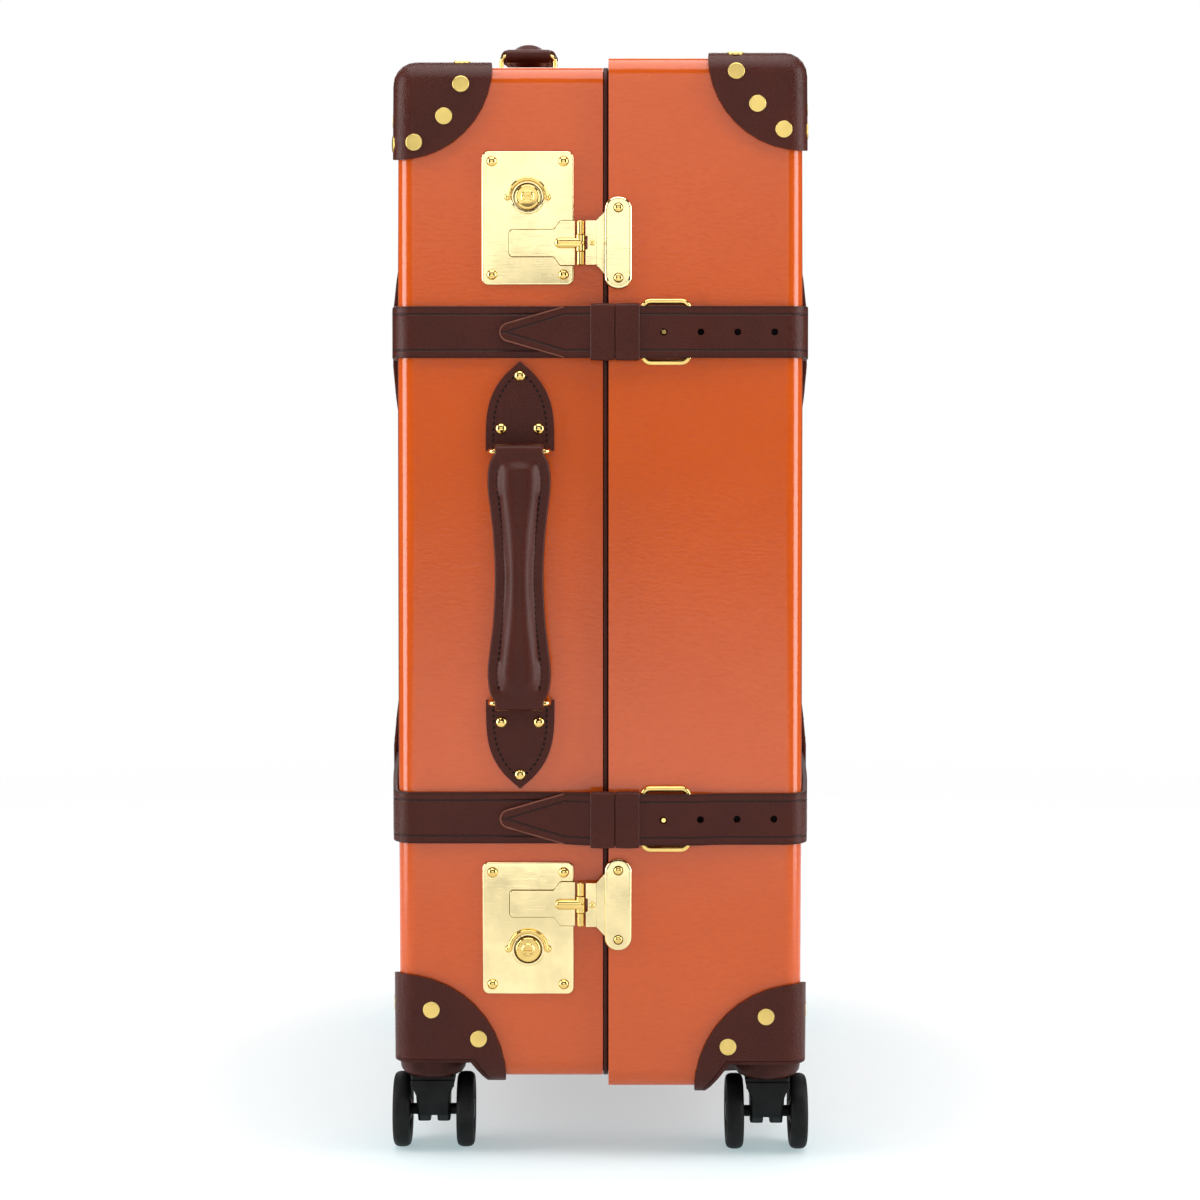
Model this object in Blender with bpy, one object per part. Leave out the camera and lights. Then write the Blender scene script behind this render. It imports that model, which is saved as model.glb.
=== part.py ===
"""Upright four-wheel suitcase of lacquered fibreboard with leather corners and straps.

X runs through the depth (base half at -X, lid half at +X), Y through the width with the
opening side at -Y and the hinges at +Y, and Z up from the floor.
"""
import math
from collections import namedtuple

import bmesh
import bpy
from mathutils import Vector

MM = 0.001

# Clearances
GAP = 0.3 * MM
STRAP_GAP = 0.5 * MM
BORE_CLEARANCE = 0.3 * MM

# Case halves
BASE_HALF_WIDTH = 249 * MM
BASE_BOTTOM = 58 * MM
BASE_TOP = 770.5 * MM
LID_OVERHANG = 6 * MM
FACE_X = 141 * MM
BASE_RIM = 2 * MM
RIM_GAP = 4 * MM
WALL = 3 * MM
EDGE_RADIUS = 12 * MM
CORNER_EXTRA = 3 * MM
CORNER_RADIUS = EDGE_RADIUS + CORNER_EXTRA
CROWN = 14 * MM
CROWN_POWER_Y = 1.5
CROWN_POWER_Z = 6
CASE_MID = (BASE_BOTTOM + BASE_TOP) / 2
BASE_HALF_HEIGHT = (BASE_TOP - BASE_BOTTOM) / 2

Half = namedtuple("Half", "name side half_width half_height rim")
BASE = Half("base", -1, BASE_HALF_WIDTH, BASE_HALF_HEIGHT, BASE_RIM)
LID = Half(
    "lid", 1, BASE_HALF_WIDTH + LID_OVERHANG, BASE_HALF_HEIGHT + LID_OVERHANG, BASE_RIM + RIM_GAP
)
ENDS = {"front": -1, "rear": 1}
LEVELS = {"upper": 1, "lower": -1}

# Leather rim between the halves
RIM_TONGUE = 7 * MM
RIM_DEPTH = 16 * MM
RIM_THICKNESS = 3 * MM

# Leather corners and the half width of every leather point
LEATHER = 3.6 * MM
TOP_CORNER_REACH = 66 * MM
WHEEL_CORNER_REACH = 75 * MM
POINT_HALF = 1.5 * MM

# Casters
CASTER_INSET_X = 22 * MM
CASTER_INSET_Y = 28 * MM
WHEEL_RADIUS = 27 * MM
WHEEL_WIDTH = 12.5 * MM
WHEEL_PLAY = 4.5 * MM
WHEEL_EDGE = 2.5 * MM
WHEEL_CLEARANCE = 2.2 * MM
WHEEL_SIDES = 20
AXLE_RADIUS = 4 * MM
CASTER_TRAIL = 14 * MM
TURRET_RADIUS = 23.6 * MM
TURRET_HEIGHT = 14 * MM
TURRET_LOW = 2 * WHEEL_RADIUS + WHEEL_CLEARANCE
KINGPIN_RADIUS = 4 * MM
KINGPIN_LENGTH = 9 * MM
FORK_WIDTH = 24 * MM
FORK_EYE = 7 * MM
WELL_CEILING = TURRET_LOW + TURRET_HEIGHT + GAP
WELL_PLAY = 4.4 * MM
WELL_FLARE = 16 * MM
WELL_FLARE_HEIGHT = 20.5 * MM
WELL_ROUND = 24 * MM
WELL_OUTSIDE = 45 * MM
CUP_WALL = 2.2 * MM

# Carry handles
HANDLE_DROP = 0.25 * MM
SIDE_HANDLE_INSET = 58 * MM
SIDE_HANDLE_X = BASE_RIM - SIDE_HANDLE_INSET
SIDE_HANDLE_Z = CASE_MID - HANDLE_DROP
TOP_HANDLE_INSET = 56 * MM
TOP_HANDLE_X = BASE_RIM - TOP_HANDLE_INSET
GRIP_LENGTH = 185 * MM
GRIP_END_HALF = 22 * MM
GRIP_WAIST_HALF = 16.9 * MM
GRIP_HALF_THICKNESS = 7 * MM
GRIP_LOOP_HALF = 17 * MM
GRIP_LOOP_RADIUS = 5 * MM
GRIP_TIP_HALF = 2.5 * MM
GRIP_NECK = 8 * MM
GRIP_SHOULDER = 18 * MM
GRIP_FLAT = 0.5 * MM
RING_PLAY = 1.4 * MM
RING_WIRE = 1.8 * MM
RING_WIDTH = 2 * (GRIP_LOOP_HALF + RING_PLAY + 2 * RING_WIRE)
RING_STAND = 20.5 * MM
RING_ROUND = 5 * MM
PATCH_WIDTH = 48 * MM
PATCH_LENGTH = 62 * MM
PATCH_POWER = 3.6
PATCH_THICKNESS = 3 * MM
PATCH_FOLD = 4 * MM
PATCH_FOLD_INSET = 2.5 * MM
PATCH_FOLD_LENGTH = 2 * (GRIP_LOOP_HALF - PATCH_FOLD_INSET)
RING_FOOT = PATCH_FOLD + STRAP_GAP
RING_REACH = GRIP_LENGTH / 2 - GRIP_LOOP_RADIUS

# Straps, buckles, loops and keepers
STRAP_WIDTH = 36 * MM
STRAP_THICKNESS = 3.5 * MM
PATCH_STRAP_GAP = 2.9 * MM
STRAP_OFFSET = RING_REACH + PATCH_LENGTH + PATCH_STRAP_GAP + STRAP_WIDTH / 2
STRAP_HEIGHTS = {level: SIDE_HANDLE_Z + sign * STRAP_OFFSET for level, sign in LEVELS.items()}
BILLET_REACH = 72.3 * MM
BILLET_TIP_X = BASE_RIM - BILLET_REACH
BILLET_NOSE = 7 * MM
BILLET_RAMP = 18.6 * MM
LOOP_INSET = 8.7 * MM
LOOP_START_X = BASE_RIM - LOOP_INSET
LOOP_LENGTH = 34.2 * MM
LOOP_WALL = 1.5 * MM
LOOP_BUCKLE_GAP = 0.5 * MM
BUCKLE_START_X = LOOP_START_X + LOOP_LENGTH + LOOP_BUCKLE_GAP
BUCKLE_LENGTH = 36 * MM
BUCKLE_HEIGHT = 47 * MM
BUCKLE_WIRE = 1.75 * MM
BUCKLE_ROUND = 5 * MM
PRONG_RADIUS = 1.5 * MM
HOLE_RADIUS = 2.5 * MM
PRONG_LENGTH = 16.3 * MM
FIRST_HOLE_X = BUCKLE_START_X + PRONG_LENGTH
HOLE_PITCH = 25.8 * MM
HOLE_COUNT = 4
KEEPER_LENGTH = 128 * MM
KEEPER_WIDTH = 30 * MM
KEEPER_THICKNESS = 2.5 * MM
KEEPER_SHOULDER = 18 * MM

# Locks and hasps
LOCK_INSET = 52.5 * MM
LOCK_X = BASE_RIM - LOCK_INSET
LOCK_WIDTH = 64.5 * MM
LOCK_LENGTH = 93.5 * MM
STRAP_LOCK_GAPS = {"upper": 14.85 * MM, "lower": 13.35 * MM}
LOCK_PLATE = 2 * MM
LOCK_ROUND = 4.5 * MM
LOCK_SOFT = 1.4 * MM
LOCK_CASE_WIDTH = 42 * MM
LOCK_CASE_LENGTH = 66 * MM
LOCK_CASE_DEPTH = 12 * MM
KEY_OFFSET = 14.5 * MM
KEY_RADIUS = 9 * MM
KEY_HEAD = 4.5 * MM
KEY_SOFT = 2 * MM
KEY_RING_WALL = 3 * MM
KEY_RING_RADIUS = KEY_RADIUS + KEY_RING_WALL
KEY_RING_HEIGHT = 2.5 * MM
KEY_EAR_REACH = 2.5 * MM
KEY_EAR_HALF = 4 * MM
KEY_EAR_ROUND = 3.6 * MM
KEY_EAR_DROP = 0.8 * MM
KEY_SHANK = 5 * MM
KEY_SHANK_DEPTH = 10 * MM
KEY_SLOT_HALF_WIDTH = 0.8 * MM
KEY_SLOT_HALF_LENGTH = 2.5 * MM
KEY_SLOT_DEPTH = 2.25 * MM
HASP_OFFSET = -17.5 * MM
HASP_INSET = 15.4 * MM
HASP_AXIS_X = BASE_RIM - HASP_INSET
HASP_BARREL = 3.2 * MM
HASP_PIN = 1.5 * MM
HASP_LENGTH = 49.6 * MM
HASP_NECK = 17.6 * MM
HASP_TIP_HEIGHT = 17 * MM
HASP_ROOT_HEIGHT = 32 * MM
HASP_THICKNESS = 1.8 * MM
HASP_KNUCKLE = 11 * MM
HASP_BAR_HEIGHT = 8 * MM
HASP_BAR_ROUND = 3.6 * MM
HASP_BAR_RISE = 3.5 * MM
HASP_BAR_SOFT = 2 * MM
STRIKE_LENGTH = 65 * MM
STRIKE_WIDTH = 19.4 * MM
STRIKE_OVERHANG = 2.9 * MM
STRIKE_ROUND = 9.2 * MM
STRIKE_THICKNESS = 2 * MM
STRIKE_FLARE = 6 * MM
STRIKE_FLARE_HEIGHT = 52 * MM
STRIKE_ARM_OUT = 2.9 * MM
STRIKE_ARM_IN = 0.6 * MM

# Hinges
HINGE_KNUCKLE = 3.2 * MM
HINGE_PIN = 1.5 * MM
HINGE_LENGTH = 60 * MM
HINGE_MIDDLE = 20 * MM
HINGE_LEAF = 32 * MM
HINGE_LEAF_THICKNESS = 1.6 * MM

# Pull handle
PULL_INSET = 31 * MM
PULL_X = -(FACE_X - PULL_INSET)
PULL_SPACING = 180 * MM
PULL_GRIP_END = 13 * MM
PULL_GRIP_LENGTH = PULL_SPACING + 2 * PULL_GRIP_END
PULL_GRIP_DEPTH = 22 * MM
PULL_GRIP_ROUND = 7 * MM
PULL_LEG_RADIUS = 6 * MM
PULL_TRAVEL = 400 * MM
PULL_LEG_OVERLAP = 50 * MM
PULL_LEG_LENGTH = PULL_TRAVEL + PULL_LEG_OVERLAP
SLEEVE_WALL = 1.5 * MM
SLEEVE_FLOOR = 75 * MM
BEZEL_BORDER = 3 * MM
BEZEL_END = 10 * MM
BEZEL_THICKNESS = 2.5 * MM
BUTTON_LENGTH = 36 * MM
BUTTON_DEPTH = 10 * MM
BUTTON_ROUND = 3 * MM
BUTTON_HEIGHT = 3.6 * MM
BUTTON_PROUD = 0.6 * MM
BUTTON_TRAVEL = 2.5 * MM
BUTTON_FLOOR = 2.2 * MM
PULL_GRIP_HEIGHT = BUTTON_HEIGHT - BUTTON_PROUD + BUTTON_TRAVEL + GAP + BUTTON_FLOOR

# Facets
CORNER_STEPS = 4
EDGE_STEPS = 5
ACROSS_STEPS = 6
UPRIGHT_STEPS = 8
FACE_SCALES = (0.86, 0.68, 0.48, 0.25)
STRAP_STEPS = 18
NOSE_STEPS = 3
SOFT_STEPS = 2
PATCH_STEPS = 6
ROUND_SIDES = 16
TURNED_SIDES = 24
SMALL_SIDES = 8
WIRE_SIDES = 8
BALL_STEPS = 20

FINISHES = {
    "fibreboard": ((0.56, 0.12, 0.03), 0.3, 0.0),
    "leather": ((0.07, 0.028, 0.02), 0.5, 0.0),
    "brass": ((0.78, 0.58, 0.22), 0.22, 1.0),
    "steel": ((0.6, 0.6, 0.62), 0.28, 1.0),
    "black_plastic": ((0.015, 0.015, 0.016), 0.45, 0.0),
    "rubber": ((0.02, 0.02, 0.02), 0.7, 0.0),
}


def clear_scene():
    """Remove whatever the scene holds."""
    for item in list(bpy.data.objects):
        bpy.data.objects.remove(item, do_unlink=True)


def finish(name):
    """Principled material for one of the named finishes."""
    found = bpy.data.materials.get(name)
    if found:
        return found
    colour, roughness, metallic = FINISHES[name]
    made = bpy.data.materials.new(name)
    made.use_nodes = True
    shader = made.node_tree.nodes["Principled BSDF"]
    shader.inputs["Base Color"].default_value = (*colour, 1.0)
    shader.inputs["Roughness"].default_value = roughness
    shader.inputs["Metallic"].default_value = metallic
    return made


def piece(name, points, faces, finish_name="leather"):
    """Object from points and faces, with its faces turned outwards."""
    mesh = bpy.data.meshes.new(name)
    mesh.from_pydata([tuple(point) for point in points], [], faces)
    work = bmesh.new()
    work.from_mesh(mesh)
    bmesh.ops.recalc_face_normals(work, faces=work.faces)
    work.to_mesh(mesh)
    work.free()
    made = bpy.data.objects.new(name, mesh)
    made.data.materials.append(finish(finish_name))
    bpy.context.scene.collection.objects.link(made)
    return made


def combine(target, tool, operation):
    """Apply an exact Boolean of the tool to the target and remove the tool."""
    step = target.modifiers.new(operation, "BOOLEAN")
    step.operation = operation
    step.solver = "EXACT"
    step.object = tool
    graph = bpy.context.evaluated_depsgraph_get()
    graph.update()
    result = bpy.data.meshes.new_from_object(target.evaluated_get(graph))
    target.modifiers.remove(step)
    old = target.data
    target.data = result
    result.name = target.name
    bpy.data.meshes.remove(old)
    bpy.data.objects.remove(tool, do_unlink=True)
    return target


def cut(target, tool):
    """Take the tool out of the target."""
    return combine(target, tool, "DIFFERENCE")


def fuse(target, tool):
    """Join the tool to the target as one body."""
    return combine(target, tool, "UNION")


def keep(target, tool):
    """Keep only what the target shares with the tool."""
    return combine(target, tool, "INTERSECT")


def set_pivot(target, point):
    """Move the object's origin to a point without moving its mesh."""
    place = Vector(point)
    for vertex in target.data.vertices:
        vertex.co -= place
    target.location = place
    return target


def attach(child, carrier):
    """Parent a piece to what carries it, without moving it."""
    child.parent = carrier
    child.location -= carrier.location


def shade_round(target, degrees=35):
    """Shade smooth with sharp edges kept."""
    target.data.shade_smooth()
    target.data.set_sharp_from_angle(angle=math.radians(degrees))
    return target


def loft(name, rings, finish_name="leather", closed=False):
    """Solid through rings of equal count, capped at both ends or joined end to start."""
    count = len(rings[0])
    points = [point for ring in rings for point in ring]
    faces = []
    spans = len(rings) if closed else len(rings) - 1
    for row in range(spans):
        low = row * count
        high = (row + 1) % len(rings) * count
        for i in range(count):
            j = (i + 1) % count
            faces.append((low + i, low + j, high + j, high + i))
    if not closed:
        faces.append(tuple(range(count)))
        faces.append(tuple(range(len(points) - count, len(points))))
    return piece(name, points, faces, finish_name)


def prism(name, outline, place, low, high, finish_name="leather"):
    """Solid of an outline pushed from low to high; place turns (a, b, c) into a point."""
    rings = [[place(a, b, level) for a, b in outline] for level in (low, high)]
    return loft(name, rings, finish_name)


def softened(name, outline_at, place, low, high, soft, finish_name="leather"):
    """Solid like a prism whose high end is rounded over; outline_at gives the outline at an inset."""
    out = math.copysign(soft, high - low)
    levels = [(low, 0.0)]
    for i in range(SOFT_STEPS + 1):
        angle = math.pi / 2 * i / SOFT_STEPS
        levels.append((high - out + out * math.sin(angle), soft * (1 - math.cos(angle))))
    rings = [[place(a, b, level) for a, b in outline_at(inset)] for level, inset in levels]
    return loft(name, rings, finish_name)


def block(name, low, high, finish_name="leather"):
    """Box between two corners."""
    outline = [(low[0], low[1]), (high[0], low[1]), (high[0], high[1]), (low[0], high[1])]
    return prism(name, outline, lambda a, b, c: (a, b, c), low[2], high[2], finish_name)


def soft_disc(name, radius, place, low, high, soft, finish_name="leather"):
    """Turned solid whose high end is rounded over."""
    return softened(
        name, lambda inset: circle(radius - inset, TURNED_SIDES), place, low, high, soft, finish_name
    )


def soft_slab(name, half_a, half_b, radius, place, low, high, soft, finish_name="leather"):
    """Rounded slab whose high end is rounded over."""

    def outline_at(inset):
        return rounded(half_a - inset, half_b - inset, radius - inset)

    return softened(name, outline_at, place, low, high, soft, finish_name)


def circle(radius, sides=ROUND_SIDES, centre=(0.0, 0.0), turn=0.5):
    """Points of a regular polygon whose corners lie on the circle."""
    points = []
    for i in range(sides):
        angle = math.tau * (i + turn) / sides
        points.append((centre[0] + radius * math.cos(angle), centre[1] + radius * math.sin(angle)))
    return points


def rounded(half_a, half_b, radius, steps=CORNER_STEPS, centre=(0.0, 0.0)):
    """Points of a rounded rectangle."""
    points = []
    for k, (sa, sb) in enumerate(((1, 1), (-1, 1), (-1, -1), (1, -1))):
        for i in range(steps + 1):
            angle = math.pi / 2 * (k + i / steps)
            a = centre[0] + sa * (half_a - radius) + radius * math.cos(angle)
            b = centre[1] + sb * (half_b - radius) + radius * math.sin(angle)
            points.append((a, b))
    return points


def along_x(y, z):
    """Placing function for a solid pushed along X at (y, z)."""
    return lambda a, b, c: (c, y + a, z + b)


def along_y(x, z):
    """Placing function for a solid pushed along Y at (x, z)."""
    return lambda a, b, c: (x + a, c, z + b)


def along_z(x, y):
    """Placing function for a solid pushed along Z at (x, y)."""
    return lambda a, b, c: (x + a, y + b, c)


def wire_loop(name, path, across, radius, finish_name):
    """Closed round wire along a flat path of points, across being the path's normal."""
    rings = []
    count = len(path)
    for i, point in enumerate(path):
        tangent = (path[(i + 1) % count] - path[i - 1]).normalized()
        side = tangent.cross(across).normalized()
        ring = []
        for a, b in circle(radius, WIRE_SIDES):
            ring.append(point + side * a + across * b)
        rings.append(ring)
    return loft(name, rings, finish_name, closed=True)


def bulge(half, y, z):
    """Height of the crowned face above its edge plane."""
    across = min(abs(y) / half.half_width, 1.0)
    along = min(abs(z - CASE_MID) / half.half_height, 1.0)
    return CROWN * (1 - across**CROWN_POWER_Y) * (1 - along**CROWN_POWER_Z)


def face_x(half, y, z, offset=0.0):
    """X of a half's big face, pushed out by an offset."""
    return half.side * (FACE_X + offset + bulge(half, y, z))


def wall_outline(half, offset, inset):
    """Rounded outline of a half's side walls, with extra points along the sides."""
    half_y = half.half_width + offset - inset
    half_z = half.half_height + offset - inset
    radius = CORNER_RADIUS + offset - inset
    corners = rounded(half_y, half_z, radius)
    per_corner = CORNER_STEPS + 1
    outline = []
    for k in range(4):
        outline += corners[k * per_corner:(k + 1) * per_corner]
        start = Vector(outline[-1])
        end = Vector(corners[(k + 1) % 4 * per_corner])
        steps = ACROSS_STEPS if k % 2 == 0 else UPRIGHT_STEPS
        for i in range(1, steps):
            outline.append(tuple(start.lerp(end, i / steps)))
    return outline


def half_rings(half, offset):
    """Rings of a half's surface from its rim to near the middle of its face."""
    side = half.side
    edge = EDGE_RADIUS + offset
    straight = wall_outline(half, offset, 0.0)
    rings = [[Vector((half.rim, y, CASE_MID + z)) for y, z in straight]]
    for i in range(EDGE_STEPS + 1):
        angle = math.pi / 2 * i / EDGE_STEPS
        inset = edge * (1 - math.cos(angle))
        x = FACE_X + offset - edge + edge * math.sin(angle)
        ring = []
        for y, z in wall_outline(half, offset, inset):
            rise = bulge(half, y, CASE_MID + z)
            ring.append(Vector((side * (x + rise), y, CASE_MID + z)))
        rings.append(ring)
    for scale in FACE_SCALES:
        ring = []
        for point in rings[EDGE_STEPS + 1]:
            y = point.y * scale
            z = CASE_MID + (point.z - CASE_MID) * scale
            ring.append(Vector((face_x(half, y, z, offset), y, z)))
        rings.append(ring)
    return rings


def add_surface(points, faces, rings, middle):
    """Append a ringed surface closed by a fan at its middle; returns the first ring's indices."""
    start = len(points)
    count = len(rings[0])
    for ring in rings:
        points.extend(ring)
    points.append(middle)
    for row in range(len(rings) - 1):
        for i in range(count):
            a = start + row * count + i
            b = start + row * count + (i + 1) % count
            faces.append((a, b, b + count))
            faces.append((a, b + count, a + count))
    last = start + (len(rings) - 1) * count
    for i in range(count):
        faces.append((last + i, last + (i + 1) % count, len(points) - 1))
    return list(range(start, start + count))


def tray(name, half, outer, inner, finish_name):
    """Open tray of a half between two offsets of its surface."""
    points = []
    faces = []
    rims = []
    for offset in (outer, inner):
        middle = Vector((face_x(half, 0.0, CASE_MID, offset), 0.0, CASE_MID))
        rims.append(add_surface(points, faces, half_rings(half, offset), middle))
    for i, start in enumerate(rims[0]):
        j = (i + 1) % len(rims[0])
        faces.append((start, rims[0][j], rims[1][j], rims[1][i]))
    return piece(name, points, faces, finish_name)


def filled_half(name, half, offset):
    """Solid block of a half's outer form, pushed out by an offset."""
    points = []
    faces = []
    middle = Vector((face_x(half, 0.0, CASE_MID, offset), 0.0, CASE_MID))
    rim = add_surface(points, faces, half_rings(half, offset), middle)
    faces.append(tuple(rim))
    return piece(name, points, faces)


def bottom_of(half):
    """Lowest Z of a half's shell."""
    return CASE_MID - half.half_height


def caster_axis(half, end):
    """X and Y of a caster's swivel axis."""
    return (half.side * (FACE_X - CASTER_INSET_X), end * (half.half_width - CASTER_INSET_Y))


def wheel_well(name, half, end, grow):
    """Block of the open recess round a caster, grown on its inner sides and ceiling."""
    x, y = caster_axis(half, end)
    floor = bottom_of(half) - LEATHER - WELL_ROUND
    top_reach = TURRET_RADIUS + WELL_PLAY
    low_reach = top_reach + WELL_FLARE / WELL_FLARE_HEIGHT * (WELL_CEILING - floor)
    rings = []
    for level, plain_reach in ((floor, low_reach), (WELL_CEILING + grow, top_reach)):
        reach = plain_reach + grow
        outline = [(-WELL_OUTSIDE, -WELL_OUTSIDE), (reach, -WELL_OUTSIDE)]
        for i in range(CORNER_STEPS + 1):
            angle = math.pi / 2 * i / CORNER_STEPS
            a = reach - WELL_ROUND + WELL_ROUND * math.cos(angle)
            b = reach - WELL_ROUND + WELL_ROUND * math.sin(angle)
            outline.append((a, b))
        outline.append((-WELL_OUTSIDE, reach))
        rings.append([Vector((x - half.side * a, y - end * b, level)) for a, b in outline])
    return loft(name, rings)


def round_bar(name, place, radius, low, high, finish_name="leather", sides=ROUND_SIDES):
    """Round solid between two levels."""
    return prism(name, circle(radius, sides), place, low, high, finish_name)


def bore(radius):
    """Corner radius of a bore polygon that clears a round of the given radius."""
    return (radius + BORE_CLEARANCE) / math.cos(math.pi / ROUND_SIDES)


def ball(name, centre, radius):
    """Round cutter for a corner's outline."""
    mesh = bpy.data.meshes.new(name)
    work = bmesh.new()
    bmesh.ops.create_uvsphere(work, u_segments=2 * BALL_STEPS, v_segments=BALL_STEPS, radius=radius)
    bmesh.ops.translate(work, verts=work.verts, vec=centre)
    work.to_mesh(mesh)
    work.free()
    made = bpy.data.objects.new(name, mesh)
    bpy.context.scene.collection.objects.link(made)
    return made


def make_shells():
    """The two fibreboard trays with their cut-outs."""
    base = tray("base_shell", BASE, 0.0, -WALL, "fibreboard")
    lid = tray("lid_shell", LID, 0.0, -WALL, "fibreboard")
    for half, shell in ((BASE, base), (LID, lid)):
        for end in ENDS.values():
            cut(shell, wheel_well("well", half, end, CUP_WALL + GAP))
    for level in LEVELS:
        place = along_y(LOCK_X, lock_height(level))
        outline = rounded(LOCK_CASE_WIDTH / 2 + GAP, LOCK_CASE_LENGTH / 2 + GAP, LOCK_ROUND, 1)
        front = -BASE_HALF_WIDTH
        cut(base, prism("lock_hole", outline, place, front - WALL, front + 2 * WALL))
    for end in ENDS.values():
        place = along_z(PULL_X, end * PULL_SPACING / 2)
        radius = bore(PULL_LEG_RADIUS + BORE_CLEARANCE + SLEEVE_WALL)
        cut(base, round_bar("sleeve_hole", place, radius, BASE_TOP - 2 * WALL, BASE_TOP + WALL))
    shade_round(base)
    shade_round(lid)


def make_rim():
    """Leather lip seated in the base's mouth, with its edge showing between the halves."""
    inside = -(WALL + GAP)
    profile = (
        (inside, BASE_RIM - RIM_DEPTH),
        (inside, BASE_RIM + GAP),
        (0.0, BASE_RIM + GAP),
        (0.0, BASE_RIM + RIM_GAP - GAP),
        (inside, BASE_RIM + RIM_GAP - GAP),
        (inside, BASE_RIM + RIM_GAP + RIM_TONGUE),
        (inside - RIM_THICKNESS, BASE_RIM + RIM_GAP + RIM_TONGUE),
        (inside - RIM_THICKNESS, BASE_RIM - RIM_DEPTH),
    )
    rings = []
    for offset, x in profile:
        outline = wall_outline(BASE, offset, 0.0)
        rings.append([Vector((x, y, CASE_MID + z)) for y, z in outline])
    shade_round(loft("base_rim", rings, "leather", closed=True))


def make_corners():
    """Eight leather corners, the lower four opened for their casters."""
    for half in (BASE, LID):
        for end_name, end in ENDS.items():
            for level_name, level in (("top", 1), ("wheel", -1)):
                name = f"{half.name}_{level_name}_corner_{end_name}"
                skin = tray(name, half, GAP + LEATHER, GAP, "leather")
                reach = TOP_CORNER_REACH if level > 0 else WHEEL_CORNER_REACH
                tip = (
                    half.side * FACE_X,
                    end * half.half_width,
                    CASE_MID + level * half.half_height,
                )
                keep(skin, ball("corner_ball", tip, reach))
                if level < 0:
                    cut(skin, wheel_well("well", half, end, CUP_WALL + GAP))
                shade_round(skin)


def make_wheel_cup(half, end_name, end):
    """Moulded lining of a wheel recess, with the hole for the caster's kingpin."""
    x, y = caster_axis(half, end)
    cup = wheel_well(f"{half.name}_wheel_cup_{end_name}", half, end, CUP_WALL)
    cut(cup, wheel_well("well", half, end, 0.0))
    keep(cup, filled_half("half_block", half, GAP + LEATHER))
    low = WELL_CEILING - CUP_WALL
    high = WELL_CEILING + 2 * CUP_WALL
    cut(cup, round_bar("kingpin_hole", along_z(x, y), bore(KINGPIN_RADIUS), low, high))
    shade_round(cup)


def make_caster(half, end_name, end):
    """Swivelling fork with its turret and kingpin, and the pair of wheels on one axle."""
    x, y = caster_axis(half, end)
    axle_z = axle_height()
    turret_top = TURRET_LOW + TURRET_HEIGHT
    name = f"{half.name}_caster_fork_{end_name}"
    place = along_z(x, y)
    fork = round_bar(name, place, TURRET_RADIUS, TURRET_LOW, turret_top, "black_plastic", TURNED_SIDES)
    pin_top = turret_top + KINGPIN_LENGTH
    fuse(fork, round_bar("kingpin", place, KINGPIN_RADIUS, TURRET_LOW + GAP, pin_top))
    leg_top = TURRET_LOW + TURRET_HEIGHT / 2
    leg = [
        (-CASTER_TRAIL, leg_top),
        (-CASTER_TRAIL, TURRET_LOW - FORK_EYE / 2),
        (CASTER_TRAIL - FORK_EYE, axle_z - FORK_EYE / 2),
        (CASTER_TRAIL - FORK_EYE / 2, axle_z - FORK_EYE),
        (CASTER_TRAIL + FORK_EYE / 2, axle_z - FORK_EYE),
        (CASTER_TRAIL + FORK_EYE, axle_z - FORK_EYE / 2),
        (CASTER_TRAIL + FORK_EYE / 2, leg_top),
    ]
    leg_place = along_x(y, 0.0)
    fuse(fork, prism("leg", leg, leg_place, x - FORK_WIDTH / 2, x + FORK_WIDTH / 2))
    axle_place = along_x(y + CASTER_TRAIL, axle_z)
    hole = round_bar("axle_hole", axle_place, bore(AXLE_RADIUS), x - FORK_WIDTH, x + FORK_WIDTH)
    cut(fork, hole)
    shade_round(set_pivot(fork, (x, y, TURRET_LOW)))

    inner = FORK_WIDTH / 2 + WHEEL_PLAY
    outer = inner + WHEEL_WIDTH
    side = [
        (outer, AXLE_RADIUS),
        (outer, WHEEL_RADIUS - WHEEL_EDGE),
        (outer - WHEEL_EDGE, WHEEL_RADIUS),
        (inner + WHEEL_EDGE, WHEEL_RADIUS),
        (inner, WHEEL_RADIUS - WHEEL_EDGE),
        (inner, AXLE_RADIUS),
    ]
    profile = side + [(-a, radius) for a, radius in reversed(side)]
    rings = []
    for a, radius in profile:
        outline = circle(radius, WHEEL_SIDES)
        rings.append([Vector((x + a, y + CASTER_TRAIL + u, axle_z + v)) for u, v in outline])
    wheels = loft(f"{half.name}_wheel_pair_{end_name}", rings, "rubber")
    shade_round(set_pivot(wheels, (x, y + CASTER_TRAIL, axle_z)))
    attach(wheels, fork)


def strap_path(half, z, offset):
    """Points (x, y) round a half at one height, from its front rim to its rear rim."""
    reach = half.half_width + offset
    edge = EDGE_RADIUS + offset
    bend_x = FACE_X + offset - edge
    quarter = []
    for i in range(EDGE_STEPS + 1):
        angle = math.pi / 2 * i / EDGE_STEPS
        y = reach - edge + edge * math.cos(angle)
        x = bend_x + edge * math.sin(angle) + bulge(half, y, z)
        quarter.append((x, y))
    points = [(half.side * x, -y) for x, y in quarter]
    flat = reach - edge
    for i in range(1, STRAP_STEPS):
        y = -flat + 2 * flat * i / STRAP_STEPS
        points.append((face_x(half, y, z, offset), y))
    points += [(half.side * x, y) for x, y in reversed(quarter)]
    return points


def strap(name, inner, outer, halves, z):
    """Flat strap between an inner and an outer path, with a half width at each station."""
    rings = []
    for (xi, yi), (xo, yo), half in zip(inner, outer, halves):
        rings.append([(xi, yi, z - half), (xi, yi, z + half), (xo, yo, z + half), (xo, yo, z - half)])
    return loft(name, rings, "leather")


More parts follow.
